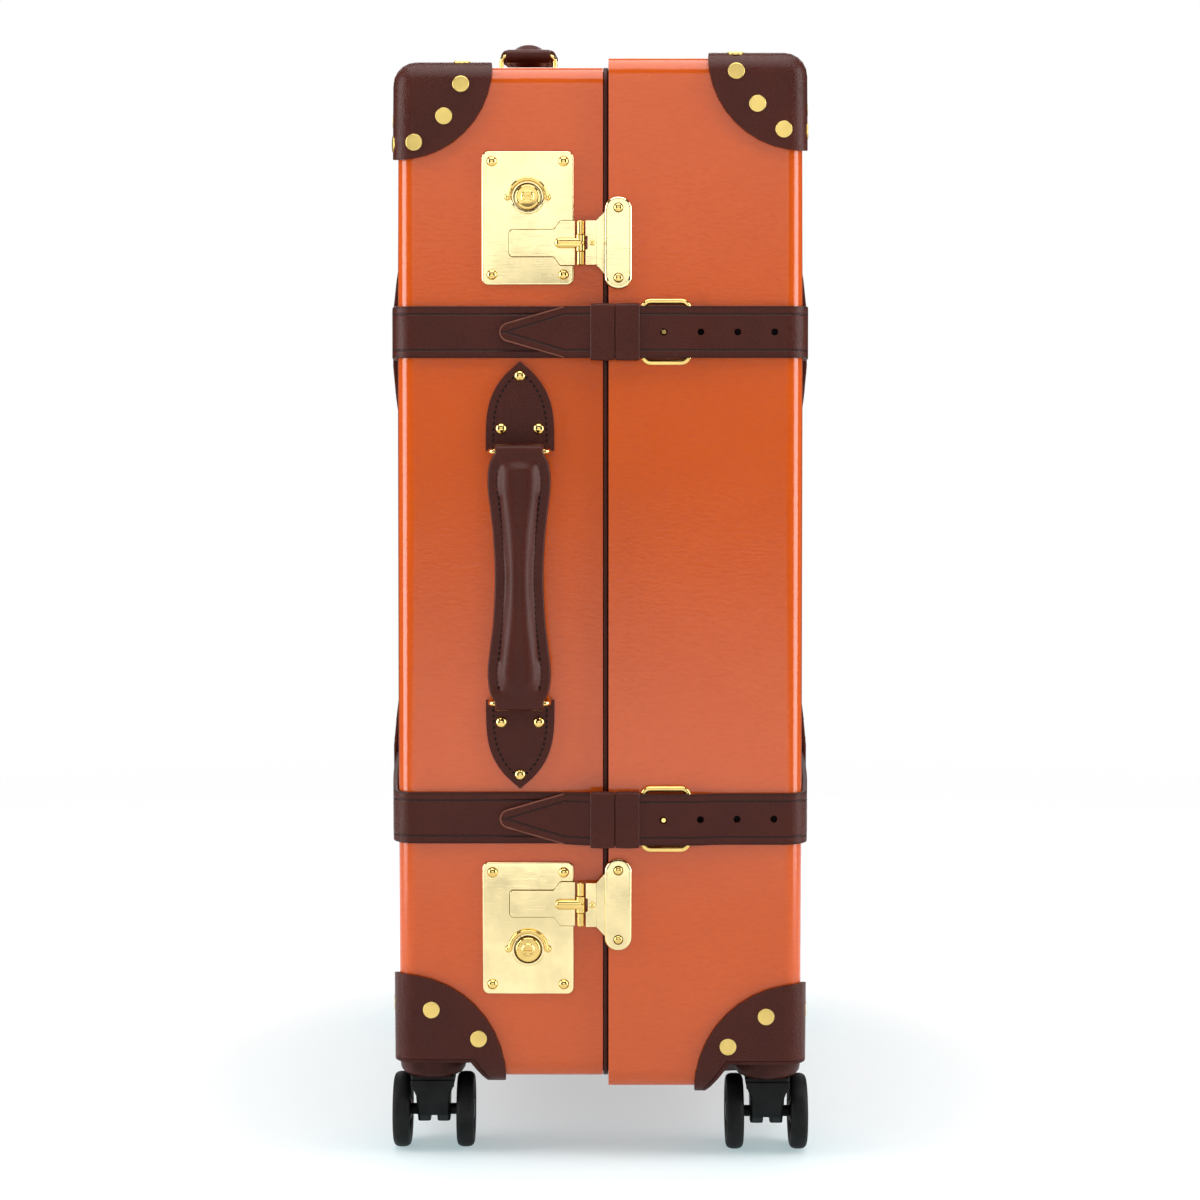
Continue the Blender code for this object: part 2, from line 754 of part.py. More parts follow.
def billet_levels():
    """Y of the billet's inner side on the base strap, on its loops and buckle, and on the lid."""
    on_base = -(BASE.half_width + STRAP_GAP + STRAP_THICKNESS + GAP)
    on_lid = -(LID.half_width + STRAP_GAP)
    raised = on_lid - 2 * BUCKLE_WIRE - GAP
    return on_base, raised, on_lid


def make_straps():
    """Strap halves with their buckles and loops."""
    half_width = STRAP_WIDTH / 2
    on_base, raised, on_lid = billet_levels()
    for level, z in STRAP_HEIGHTS.items():
        inner = strap_path(BASE, z, STRAP_GAP)
        outer = strap_path(BASE, z, STRAP_GAP + STRAP_THICKNESS)
        front_end = LOOP_START_X - 2 * GAP
        inner = [(front_end, inner[0][1])] + inner + [(BASE_RIM, inner[-1][1])]
        outer = [(front_end, outer[0][1])] + outer + [(BASE_RIM, outer[-1][1])]
        shade_round(strap(f"{level}_strap_base", inner, outer, [half_width] * len(inner), z))

        buckle_end = BUCKLE_START_X + BUCKLE_LENGTH
        front = [(BILLET_TIP_X, on_base, POINT_HALF)]
        for i in range(1, NOSE_STEPS + 1):
            angle = math.pi / 2 * i / (NOSE_STEPS + 1)
            x = BILLET_TIP_X + BILLET_NOSE * (1 - math.cos(angle))
            front.append((x, on_base, BILLET_NOSE * math.sin(angle)))
        front += [
            (LOOP_START_X - BILLET_RAMP, on_base, half_width),
            (LOOP_START_X, raised, half_width),
            (buckle_end + BUCKLE_WIRE, raised, half_width),
            (buckle_end + BILLET_RAMP, on_lid, half_width),
        ]
        inner = strap_path(LID, z, STRAP_GAP)
        outer = strap_path(LID, z, STRAP_GAP + STRAP_THICKNESS)
        inner = [(x, y) for x, y, _ in front] + inner + [(LID.rim, inner[-1][1])]
        outer = [(x, y - STRAP_THICKNESS) for x, y, _ in front] + outer + [(LID.rim, outer[-1][1])]
        halves = [half for _, _, half in front]
        halves += [half_width] * (len(inner) - len(front))
        billet = strap(f"{level}_strap_lid", inner, outer, halves, z)
        for i in range(HOLE_COUNT):
            place = along_y(FIRST_HOLE_X + i * HOLE_PITCH, z)
            far = raised - 2 * STRAP_THICKNESS
            cut(billet, round_bar("hole", place, HOLE_RADIUS, far, -BASE.half_width, sides=SMALL_SIDES))
        shade_round(billet)
        make_loops(level, z)
        make_buckle(level, z)


def make_loops(level, z):
    """Sleeve of the two touching loops that hold the billet down."""
    _, raised, _ = billet_levels()
    middle = raised - STRAP_THICKNESS / 2
    clear_y = STRAP_THICKNESS / 2 + GAP
    clear_z = STRAP_WIDTH / 2 + GAP
    place = along_x(middle, z)
    outside = rounded(clear_y + LOOP_WALL, clear_z + LOOP_WALL, LOOP_WALL, 2)
    end = LOOP_START_X + LOOP_LENGTH
    loops = prism(f"{level}_strap_loops", outside, place, LOOP_START_X, end, "leather")
    inside = rounded(clear_y, clear_z, LOOP_WALL / 3, 1)
    cut(loops, prism("inside", inside, place, LOOP_START_X - LOOP_WALL, end + LOOP_WALL))
    shade_round(loops)


def make_buckle(level, z):
    """Wire buckle frame under the billet, with its prong standing in the first hole."""
    _, raised, _ = billet_levels()
    y = raised + GAP + BUCKLE_WIRE
    half_x = BUCKLE_LENGTH / 2 - BUCKLE_WIRE
    half_z = BUCKLE_HEIGHT / 2 - BUCKLE_WIRE
    centre_x = BUCKLE_START_X + BUCKLE_LENGTH / 2
    outline = rounded(half_x, half_z, BUCKLE_ROUND)
    path = [Vector((centre_x + a, y, z + b)) for a, b in outline]
    buckle = wire_loop(f"{level}_buckle", path, Vector((0, 1, 0)), BUCKLE_WIRE, "brass")
    start = BUCKLE_START_X + BUCKLE_WIRE
    prong_end = FIRST_HOLE_X + PRONG_RADIUS
    prong = round_bar("prong", along_x(y, z), PRONG_RADIUS, start, prong_end, sides=SMALL_SIDES)
    fuse(buckle, prong)
    tip = raised - STRAP_THICKNESS - PRONG_RADIUS
    tip_place = along_y(FIRST_HOLE_X, z)
    fuse(buckle, round_bar("prong_tip", tip_place, PRONG_RADIUS, tip, y, sides=SMALL_SIDES))
    shade_round(buckle)


def make_keepers():
    """Pointed leather keepers across the straps in the middle of each big face."""
    stations = (
        (-KEEPER_LENGTH / 2, POINT_HALF),
        (-KEEPER_LENGTH / 2 + KEEPER_SHOULDER, KEEPER_WIDTH / 2),
        (-STRAP_WIDTH / 2 - STRAP_THICKNESS, KEEPER_WIDTH / 2),
        (STRAP_WIDTH / 2 + STRAP_THICKNESS, KEEPER_WIDTH / 2),
        (KEEPER_LENGTH / 2 - KEEPER_SHOULDER, KEEPER_WIDTH / 2),
        (KEEPER_LENGTH / 2, POINT_HALF),
    )
    reach = KEEPER_LENGTH / 2 - STRAP_WIDTH / 2 - STRAP_THICKNESS
    over = STRAP_THICKNESS + STRAP_GAP
    for half in (BASE, LID):
        for level, z in STRAP_HEIGHTS.items():
            rings = []
            for along, wide in stations:
                lift = min((KEEPER_LENGTH / 2 - abs(along)) / reach, 1.0) * over
                ring = []
                for y, extra in ((-wide, 0), (0.0, 0), (wide, 0), (wide, 1), (0.0, 1), (-wide, 1)):
                    offset = lift + GAP + STRAP_GAP / 2 + extra * KEEPER_THICKNESS
                    ring.append(Vector((face_x(half, y, z + along, offset), y, z + along)))
                rings.append(ring)
            shade_round(loft(f"{level}_keeper_{half.name}", rings, "leather"))


def lock_height(level):
    """Height of a lock's middle, beyond its strap as seen from the side handle."""
    beyond = STRAP_OFFSET + STRAP_WIDTH / 2 + STRAP_LOCK_GAPS[level] + LOCK_LENGTH / 2
    return SIDE_HANDLE_Z + LEVELS[level] * beyond


def lock_front():
    """Y of the lock plates' outer side."""
    return -(BASE.half_width + GAP + LOCK_PLATE)


def make_lock(level):
    """Lock plate with its case behind the wall, and its key cylinder."""
    z = lock_height(level)
    seat = -(BASE.half_width + GAP)
    front = lock_front()
    key_z = z + LEVELS[level] * KEY_OFFSET
    name = f"{level}_lock_plate"
    lock_place = along_y(LOCK_X, z)
    half_width = LOCK_WIDTH / 2
    half_length = LOCK_LENGTH / 2
    plate = soft_slab(
        name, half_width, half_length, LOCK_ROUND, lock_place, seat, front, LOCK_SOFT, "brass"
    )
    case = rounded(LOCK_CASE_WIDTH / 2, LOCK_CASE_LENGTH / 2, LOCK_ROUND, 1)
    back = -BASE.half_width + WALL + LOCK_CASE_DEPTH
    fuse(plate, prism("case", case, lock_place, seat - LOCK_PLATE / 2, back))
    place = along_y(LOCK_X, key_z)
    top = front - KEY_RING_HEIGHT
    sunk = seat - LOCK_PLATE / 2
    ring = soft_disc("ring", KEY_RING_RADIUS, place, sunk, top, LOCK_SOFT)
    ears = rounded(KEY_RING_RADIUS + KEY_EAR_REACH, KEY_EAR_HALF, KEY_EAR_ROUND)
    fuse(ring, prism("ears", ears, place, top + KEY_EAR_DROP, sunk))
    fuse(plate, ring)
    cut(plate, round_bar("recess", place, bore(KEY_RADIUS), top - KEY_HEAD, front, sides=TURNED_SIDES))
    shank_end = front + KEY_SHANK_DEPTH
    cut(plate, round_bar("shank_hole", place, bore(KEY_SHANK), top - KEY_HEAD, shank_end + GAP))
    shade_round(plate)

    head_seat = front - GAP
    head_top = head_seat - KEY_HEAD
    name = f"{level}_key_cylinder"
    key = soft_disc(name, KEY_RADIUS, place, head_seat, head_top, KEY_SOFT, "brass")
    fuse(key, round_bar("shank", place, KEY_SHANK, head_seat - KEY_HEAD / 2, shank_end))
    slot = rounded(KEY_SLOT_HALF_LENGTH, KEY_SLOT_HALF_WIDTH, KEY_SLOT_HALF_WIDTH / 2, 1)
    cut(key, prism("key_slot", slot, place, head_top - KEY_HEAD, head_top + KEY_SLOT_DEPTH))
    shade_round(set_pivot(key, (LOCK_X, head_seat, key_z)))


def make_hasp(level):
    """Hasp leaf lying on the lock plate, hinged on the lid's strike plate."""
    leaf_z = lock_height(level) + LEVELS[level] * HASP_OFFSET
    lower = lock_front() - GAP
    axis_y = lower - HASP_BARREL
    place = along_y(0.0, leaf_z)
    knuckle_low = leaf_z - HASP_KNUCKLE / 2
    knuckle_high = leaf_z + HASP_KNUCKLE / 2
    root = HASP_AXIS_X - HASP_BARREL - GAP
    tip_x = HASP_AXIS_X - HASP_LENGTH
    neck_x = HASP_AXIS_X - HASP_NECK
    tip = HASP_TIP_HEIGHT / 2
    wide = HASP_ROOT_HEIGHT / 2
    outline = [
        (tip_x, -tip + HASP_BARREL),
        (tip_x + HASP_BARREL, -tip),
        (neck_x, -tip),
        (root, -wide),
        (root, wide),
        (neck_x, tip),
        (tip_x + HASP_BARREL, tip),
        (tip_x, tip - HASP_BARREL),
    ]
    leaf = prism(f"{level}_hasp_leaf", outline, place, lower - HASP_THICKNESS, lower, "brass")
    barrel_place = along_z(HASP_AXIS_X, axis_y)
    fuse(leaf, round_bar("knuckle", barrel_place, HASP_BARREL, knuckle_low, knuckle_high))
    bar_half = HASP_NECK / 2
    bar_place = along_y(HASP_AXIS_X - bar_half, leaf_z)
    bar_wide = HASP_BAR_HEIGHT / 2
    bar_low = lower - HASP_THICKNESS / 2
    bar_high = lower - HASP_THICKNESS - HASP_BAR_RISE
    bar = soft_slab("bar", bar_half, bar_wide, HASP_BAR_ROUND, bar_place, bar_low, bar_high, HASP_BAR_SOFT)
    fuse(leaf, bar)
    pin_hole = bore(HASP_PIN)
    cut(leaf, round_bar("pin_hole", barrel_place, pin_hole, knuckle_low - wide, knuckle_high + wide))
    shade_round(set_pivot(leaf, (HASP_AXIS_X, axis_y, leaf_z)))

    seat = -(LID.half_width + GAP)
    half_length = STRIKE_LENGTH / 2
    centre_x = LID.rim - STRIKE_OVERHANG + STRIKE_WIDTH / 2
    half_width = STRIKE_WIDTH / 2
    name = f"{level}_strike_plate"
    strike_place = along_y(centre_x, leaf_z)
    front = seat - STRIKE_THICKNESS
    strike = soft_slab(
        name, half_width, half_length, STRIKE_ROUND, strike_place, seat, front, LOCK_SOFT, "brass"
    )
    arm = [
        (HASP_AXIS_X, axis_y - STRIKE_ARM_OUT),
        (HASP_AXIS_X + HASP_BARREL, axis_y - STRIKE_ARM_OUT),
        (centre_x, seat - STRIKE_THICKNESS + GAP),
        (centre_x, seat - GAP),
        (LID.rim, seat - GAP),
        (HASP_AXIS_X + HASP_BARREL, axis_y + STRIKE_ARM_IN),
        (HASP_AXIS_X, axis_y + STRIKE_ARM_IN),
    ]
    arm_place = along_z(0.0, 0.0)
    fuse(strike, prism("arm", arm, arm_place, leaf_z - wide, leaf_z + wide))
    flare_start = LID.rim - STRIKE_OVERHANG - STRIKE_FLARE
    flare_half = STRIKE_FLARE_HEIGHT / 2
    flare = [(flare_start, -wide), (centre_x, -flare_half), (centre_x, flare_half), (flare_start, wide)]
    fuse(strike, prism("flare", flare, place, seat - STRIKE_THICKNESS + GAP, seat - GAP))
    window = HASP_KNUCKLE / 2 + GAP
    clear_x = HASP_AXIS_X + HASP_BARREL + 2 * GAP
    low = (HASP_AXIS_X - HASP_BARREL, axis_y - 2 * HASP_BARREL, leaf_z - window)
    high = (clear_x, axis_y + 2 * HASP_BARREL, leaf_z + window)
    cut(strike, block("window", low, high))
    fuse(strike, round_bar("barrel_low", barrel_place, HASP_BARREL, leaf_z - wide, leaf_z - window))
    fuse(strike, round_bar("barrel_high", barrel_place, HASP_BARREL, leaf_z + window, leaf_z + wide))
    fuse(strike, round_bar("pin", barrel_place, HASP_PIN, leaf_z - wide + GAP, leaf_z + wide - GAP))
    shade_round(strike)


def side_place(w, u, n):
    """Point of the side handle from across, along and out of the front wall."""
    return Vector((SIDE_HANDLE_X + w, -BASE.half_width - n, SIDE_HANDLE_Z + u))


def top_place(w, u, n):
    """Point of the top handle from across, along and up from the base's top."""
    return Vector((TOP_HANDLE_X + w, u, BASE_TOP + n))


def make_handle(name, place, ends):
    """Grip on two standing rings, each held by a riveted leather patch."""
    reach = RING_REACH
    high = RING_FOOT + RING_STAND
    rings = {}
    for end_name, end in ends.items():
        half = PATCH_WIDTH / 2
        edge = []
        for i in range(PATCH_STEPS + 1):
            share = math.sin(math.pi / 2 * i / PATCH_STEPS)
            edge.append((max(half * (1 - share**PATCH_POWER), POINT_HALF), share * PATCH_LENGTH))
        outline = edge + [(-a, b) for a, b in reversed(edge)]

        def shift(a, b, c):
            return place(a, end * (reach + b), c)

        patch = prism(f"{name}_patch_{end_name}", outline, shift, GAP, GAP + PATCH_THICKNESS)

        def turn(a, b, c):
            return place(c, end * (reach + a), RING_FOOT + b)

        fold = PATCH_FOLD_LENGTH / 2
        fuse(patch, round_bar("fold", turn, PATCH_FOLD, -fold, fold))
        cut(patch, round_bar("fold_bore", turn, bore(RING_WIRE), -half, half))
        shade_round(patch)

        half_w = RING_WIDTH / 2 - RING_WIRE
        outline = rounded(half_w, RING_STAND / 2, RING_ROUND, 3, (0.0, RING_FOOT + RING_STAND / 2))
        path = [place(a, end * reach, b) for a, b in outline]
        across = (place(0.0, 1.0, 0.0) - place(0.0, 0.0, 0.0)).normalized()
        ring = wire_loop(f"{name}_ring_{end_name}", path, across, RING_WIRE, "brass")
        rings[end_name] = shade_round(set_pivot(ring, place(0.0, end * reach, RING_FOOT)))

    stations = [
        (GRIP_LENGTH / 2, GRIP_LOOP_HALF, GRIP_TIP_HALF),
        (reach, GRIP_LOOP_HALF, GRIP_LOOP_RADIUS),
        (reach - GRIP_NECK, GRIP_LOOP_HALF, GRIP_LOOP_RADIUS),
        (reach - GRIP_SHOULDER, GRIP_END_HALF, GRIP_LOOP_RADIUS),
        (reach / 2, (GRIP_END_HALF + GRIP_WAIST_HALF) / 2, GRIP_HALF_THICKNESS),
        (0.0, GRIP_WAIST_HALF, GRIP_HALF_THICKNESS),
    ]
    stations += [(-u, w, n) for u, w, n in reversed(stations[:-1])]
    sections = []
    for u, w, n in stations:
        section = rounded(w, n, n - GRIP_FLAT, 2)
        sections.append([place(a, u, high + b) for a, b in section])
    grip = loft(f"{name}_grip", sections, "leather")
    for end in (-1, 1):

        def turn_high(a, b, c):
            return place(c, end * reach + a, high + b)

        hole = round_bar("ring_bore", turn_high, bore(RING_WIRE), -RING_WIDTH, RING_WIDTH)
        cut(grip, hole)
    first_name, first = list(ends.items())[0]
    shade_round(set_pivot(grip, place(0.0, first * reach, high)))
    attach(grip, rings[first_name])


def hinge_axis():
    """X and Y of the lid's hinge line."""
    return (BASE_RIM + RIM_GAP / 2, LID.half_width + GAP + HINGE_KNUCKLE)


def make_hinge(level):
    """Butt hinge across the rear gap: base leaf with the pin, lid leaf with two knuckles."""
    z = lock_height(level)
    x, y = hinge_axis()
    seat = BASE.half_width + GAP
    thick = HINGE_LEAF_THICKNESS
    half = HINGE_LENGTH / 2
    middle = HINGE_MIDDLE / 2
    plain = along_z(0.0, 0.0)
    low = (BASE_RIM - HINGE_LEAF, seat, z - half)
    high = (BASE_RIM - GAP, seat + thick, z + half)
    base_leaf = block(f"{level}_hinge_base_leaf", low, high, "brass")
    web = [
        (BASE_RIM - 3 * thick, seat + thick / 2),
        (BASE_RIM - GAP, seat + thick / 2),
        (x, y - HINGE_KNUCKLE / 2),
        (x, y + HINGE_KNUCKLE / 2),
        (x - HINGE_KNUCKLE / 2, y + HINGE_KNUCKLE / 2),
    ]
    fuse(base_leaf, prism("web", web, plain, z - middle, z + middle))
    fuse(base_leaf, round_bar("knuckle", along_z(x, y), HINGE_KNUCKLE, z - middle, z + middle))
    fuse(base_leaf, round_bar("pin", along_z(x, y), HINGE_PIN, z - half, z + half))
    shade_round(base_leaf)

    seat = LID.half_width + GAP
    low = (LID.rim, seat, z - half)
    high = (LID.rim + HINGE_LEAF, seat + thick, z + half)
    lid_leaf = block(f"{level}_hinge_lid_leaf", low, high, "brass")
    web = [
        (LID.rim + thick, seat),
        (LID.rim + thick, seat + thick),
        (x, y),
        (x, seat + GAP),
    ]
    fuse(lid_leaf, prism("web", web, plain, z - half, z + half))
    fuse(lid_leaf, round_bar("knuckle", along_z(x, y), HINGE_KNUCKLE, z - half, z + half))
    window = middle + GAP
    low = (x - 2 * HINGE_KNUCKLE, seat - HINGE_KNUCKLE, z - window)
    high = (LID.rim - GAP + HINGE_KNUCKLE, y + 2 * HINGE_KNUCKLE, z + window)
    cut(lid_leaf, block("window", low, high))
    cut(lid_leaf, round_bar("pin_hole", along_z(x, y), bore(HINGE_PIN), z - 2 * half, z + 2 * half))
    shade_round(set_pivot(lid_leaf, (x, y, z)))


def make_pull_handle():
    """Bezel with its two sleeves, the telescoping bow and its release button."""
    seat = BASE_TOP + GAP
    top = seat + BEZEL_THICKNESS
    half_depth = PULL_GRIP_DEPTH / 2
    half_length = PULL_GRIP_LENGTH / 2
    outline = rounded(half_depth + BEZEL_BORDER, half_length + BEZEL_END, PULL_GRIP_ROUND + BEZEL_BORDER)
    bezel = prism("trolley_bezel", outline, along_z(PULL_X, 0.0), seat, top, "black_plastic")
    sleeve = PULL_LEG_RADIUS + BORE_CLEARANCE + SLEEVE_WALL
    grip_low = top + GAP
    grip_top = grip_low + PULL_GRIP_HEIGHT
    outline = rounded(half_depth, half_length, PULL_GRIP_ROUND)
    bow = prism("pull_handle", outline, along_z(PULL_X, 0.0), grip_low, grip_top, "black_plastic")
    for end in ENDS.values():
        place = along_z(PULL_X, end * PULL_SPACING / 2)
        sleeve_low = BASE_BOTTOM + SLEEVE_FLOOR
        fuse(bezel, round_bar("sleeve", place, sleeve, sleeve_low, top - BEZEL_THICKNESS / 2))
        leg_bore = bore(PULL_LEG_RADIUS)
        cut(bezel, round_bar("sleeve_bore", place, leg_bore, sleeve_low - sleeve, top + sleeve))
        fuse(bow, round_bar("leg", place, PULL_LEG_RADIUS, top - PULL_LEG_LENGTH, grip_low + GAP))
    pocket = rounded(BUTTON_DEPTH / 2 + GAP, BUTTON_LENGTH / 2 + GAP, BUTTON_ROUND)
    button_top = grip_top + BUTTON_PROUD
    button_low = button_top - BUTTON_HEIGHT
    pocket_low = button_low - BUTTON_TRAVEL - GAP
    cut(bow, prism("pocket", pocket, along_z(PULL_X, 0.0), pocket_low, button_top))
    shade_round(bezel)
    shade_round(bow)
    outline = rounded(BUTTON_DEPTH / 2, BUTTON_LENGTH / 2, BUTTON_ROUND)
    button = prism("release_button", outline, along_z(PULL_X, 0.0), button_low, button_top, "steel")
    attach(shade_round(button), bow)


def axle_height():
    """Height of the axles with a flat of each wheel on the floor."""
    return WHEEL_RADIUS * math.cos(math.pi / WHEEL_SIDES)


def hang_lid():
    """Parent everything that swings with the lid to an empty on the hinge line."""
    line = bpy.data.objects.new("lid_hinge_line", None)
    bpy.context.scene.collection.objects.link(line)
    line.location = (*hinge_axis(), CASE_MID)
    fittings = ("_strap_loops", "_buckle", "_strike_plate", "_hasp_leaf", "_lid_leaf")
    leather = ("_strap_lid", "_keeper_lid")
    for item in list(bpy.data.objects):
        with_lid = item.name.startswith(f"{LID.name}_") or item.name.endswith(fittings + leather)
        if with_lid and item != line and not item.parent:
            attach(item, line)


def centre_on_origin():
    """Shift every piece along Y so that the origin lies under the middle of the outer box."""
    front = BASE.half_width + RING_FOOT + RING_STAND + GRIP_HALF_THICKNESS
    rear = LID.half_width - CASTER_INSET_Y + CASTER_TRAIL + axle_height()
    for item in bpy.data.objects:
        if not item.parent:
            item.location.y += (front - rear) / 2


def main():
    clear_scene()
    make_shells()
    make_rim()
    make_corners()
    for half in (BASE, LID):
        for end_name, end in ENDS.items():
            make_wheel_cup(half, end_name, end)
            make_caster(half, end_name, end)
    make_straps()
    make_keepers()
    for level in LEVELS:
        make_lock(level)
        make_hasp(level)
        make_hinge(level)
    make_handle("side_handle", side_place, LEVELS)
    make_handle("top_handle", top_place, ENDS)
    make_pull_handle()
    hang_lid()
    centre_on_origin()


main()
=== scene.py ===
"""Looks of the wheeled suitcase: finishes for its solids, and its sewn, riveted and rolling details."""
import math
from functools import partial
from itertools import product

import bmesh
import bpy
from bpy.props import FloatProperty, FloatVectorProperty, PointerProperty
from mathutils import Matrix, Vector
from mathutils.bvhtree import BVHTree


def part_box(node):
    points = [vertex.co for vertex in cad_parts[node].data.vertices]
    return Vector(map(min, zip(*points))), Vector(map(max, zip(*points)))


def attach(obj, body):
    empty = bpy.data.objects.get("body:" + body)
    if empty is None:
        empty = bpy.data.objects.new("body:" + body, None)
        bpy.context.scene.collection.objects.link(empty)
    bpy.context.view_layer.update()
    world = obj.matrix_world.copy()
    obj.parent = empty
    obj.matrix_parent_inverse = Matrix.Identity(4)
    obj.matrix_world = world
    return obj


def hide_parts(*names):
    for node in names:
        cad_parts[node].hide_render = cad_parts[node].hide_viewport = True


bl_info = {
    "name": "Wheeled suitcase looks",
    "version": (1, 0, 0),
    "blender": (4, 5, 0),
    "location": "3D View > Sidebar > Suitcase",
    "description": "Dresses the packed suitcase with its finishes and small details",
    "category": "Object",
}

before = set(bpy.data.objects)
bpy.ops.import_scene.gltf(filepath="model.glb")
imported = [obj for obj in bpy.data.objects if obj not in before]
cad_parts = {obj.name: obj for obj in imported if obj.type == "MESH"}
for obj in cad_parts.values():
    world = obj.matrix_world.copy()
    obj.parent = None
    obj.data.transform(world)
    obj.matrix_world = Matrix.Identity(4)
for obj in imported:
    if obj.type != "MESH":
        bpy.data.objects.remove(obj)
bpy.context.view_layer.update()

MM = 0.001
FRONT = Vector((0, -1, 0))
UP = Vector((0, 0, 1))
X_AXIS = Vector((1, 0, 0))
Y_AXIS = Vector((0, 1, 0))
ENDS = {"front": -1, "rear": 1}
LEVELS = {"upper": 1, "lower": -1}

# Form of the case halves
CROWN = 14 * MM
CROWN_POWER_ACROSS = 1.5
CROWN_POWER_UPRIGHT = 6
EDGE_RADIUS = 12 * MM
CORNER_RADIUS = 15 * MM
WALL = 3 * MM
LINING_GAP = 0.2 * MM
LINING_THICKNESS = 0.5 * MM
WELL_PUSH = 60 * MM
SKIN_CORNER_STEPS = 8
SKIN_EDGE_STEPS = 8
SKIN_RUNS = (24, 34)
SKIN_FACE_RINGS = 18

# Facets and edges of the small pieces
ROUND_SIDES = 32
FINE_SIDES = 64
HUB_SIDES = 48
DOME_SIDES = 24
WIRE_SIDES = 16
EDGE_SIDES = 8
THREAD_SIDES = 6
ROUND_STEPS = 8
SLAB_STEPS = 6
SOFT_STEPS = 5
WELD = 0.01 * MM
SHARP_ANGLE = math.radians(42)
BEVEL_ANGLE = math.radians(50)
FLAT_ANGLE = math.radians(0.3)
FLAT_WEIGHT = 60

# Finish and edge softness of the solids that stay in view, by a part of their names
NODE_FINISHES = (
    ("_corner_", "leather", 0.9 * MM),
    ("_wheel_cup_", "cup", 0.4 * MM),
    ("_lock_plate", "brass", 0.3 * MM),
    ("_key_cylinder", "gilt", 0.3 * MM),
    ("_strap_base", "strap", 0.8 * MM),
    ("_strap_lid", "billet", 0.8 * MM),
    ("_keeper_", "leather", 0.7 * MM),
    ("_leaf", "brass", 0.4 * MM),
    ("base_rim", "leather", 0.8 * MM),
    ("trolley_bezel", "plastic", 0.8 * MM),
    ("pull_handle", "pull", 1.2 * MM),
    ("release_button", "steel", 0.5 * MM),
)

# Rivets, with the corner spots in millimetres from the corner's tip
DOME_ANGLES = (84, 68, 52, 36, 20, 6)
DOME_RISE = 0.42
DOME_SINK = 0.4 * MM
DISC_EDGE = 0.35 * MM
DISC_SHOULDER = (0.6, 0.35)
DISC_FLAT = 0.5
DISC_SINK = 0.6 * MM
DISC_RISE = 0.9 * MM
FACE_DISC_RISE = 0.45 * MM
DISC_RAY = 100 * MM
DISC_SPOTS = {
    ("base", "top"): ((44.0, 13.3), (32.1, 35.6), (11.3, 53.9)),
    ("lid", "top"): ((46.3, 10.9), (31.5, 33.5), (13.2, 51.3)),
    ("base", "wheel"): ((22.3, 50.0), (55.5, 29.4)),
    ("lid", "wheel"): ((24.5, 52.4), (51.2, 31.2)),
}
PLATE_RIVET_INSET = 7.2 * MM
SCREW_SIZE = 6 * MM
SCREW_RISE = 0.2
SCREW_INSET = 11 * MM
SCREW_SHARES = (0.16, 0.5, 0.84)

# Sewing: a stitch's share of its pitch, and its stations of run, width and lift
STITCH_SHARE = 0.74
STITCH_FLATNESS = 0.8
STITCH_SHAPE = (
    (0.0, 0.55, -0.9),
    (0.18, 0.95, -0.1),
    (0.5, 1.0, 0.1),
    (0.82, 0.95, -0.1),
    (1.0, 0.55, -0.9),
)
KEEPER_ROWS = (-42 * MM, -27 * MM, 27 * MM, 42 * MM)
KEEPER_ROW_HALF = 10 * MM
KEEPER_ROW_STEPS = 8
KEEPER_RAY = 300 * MM

# Carry handles
PATCH_HALF = 24 * MM
PATCH_LENGTH = 62 * MM
PATCH_POWER = 3.6
PATCH_POINT = 1.2 * MM
PATCH_STEPS = 26
PATCH_SEAT = 0.3 * MM
PATCH_THICKNESS = 3 * MM
PATCH_SOFT = 0.9 * MM
PATCH_SEAM = 5.2 * MM
PATCH_SEAM_STOPS = (0.35, 0.5)
PATCH_RIVETS = ((0.0, 52.5 * MM), (-13.2 * MM, 15.5 * MM), (13.2 * MM, 15.5 * MM))
FOLD_RADIUS = 4 * MM
FOLD_HALF = 14.5 * MM
FOLD_SOFT = 0.8 * MM
RING_FOOT = 4.5 * MM
RING_STAND = 20.5 * MM
RING_HALF = 20.2 * MM
RING_ROUND = 5 * MM
GRIP_WIDTHS = (
    (0.0, 16.9),
    (30.0, 18.2),
    (46.0, 20.0),
    (65.0, 22.0),
    (79.0, 20.8),
    (84.0, 18.5),
    (87.5, 17.0),
)
GRIP_LOOP = 5 * MM
GRIP_LOOP_END = 0.995
GRIP_EASE = (15 * MM, 4 * MM)
GRIP_FLANGE = 2 * MM
GRIP_EDGE = 1.6 * MM
GRIP_RISE = 8.5 * MM
GRIP_MARGIN = 7.8 * MM
GRIP_ROUND = 0.6
GRIP_SEAM = 6.8 * MM
GRIP_SEAM_STOP = 10 * MM
GRIP_SEAM_STEPS = 80
GRIP_SIDE_STEPS = 30
GRIP_SIDE_EVENNESS = 0.35
GRIP_STEPS = 72
GRIP_CROWDING = math.pi / 2 * 0.86

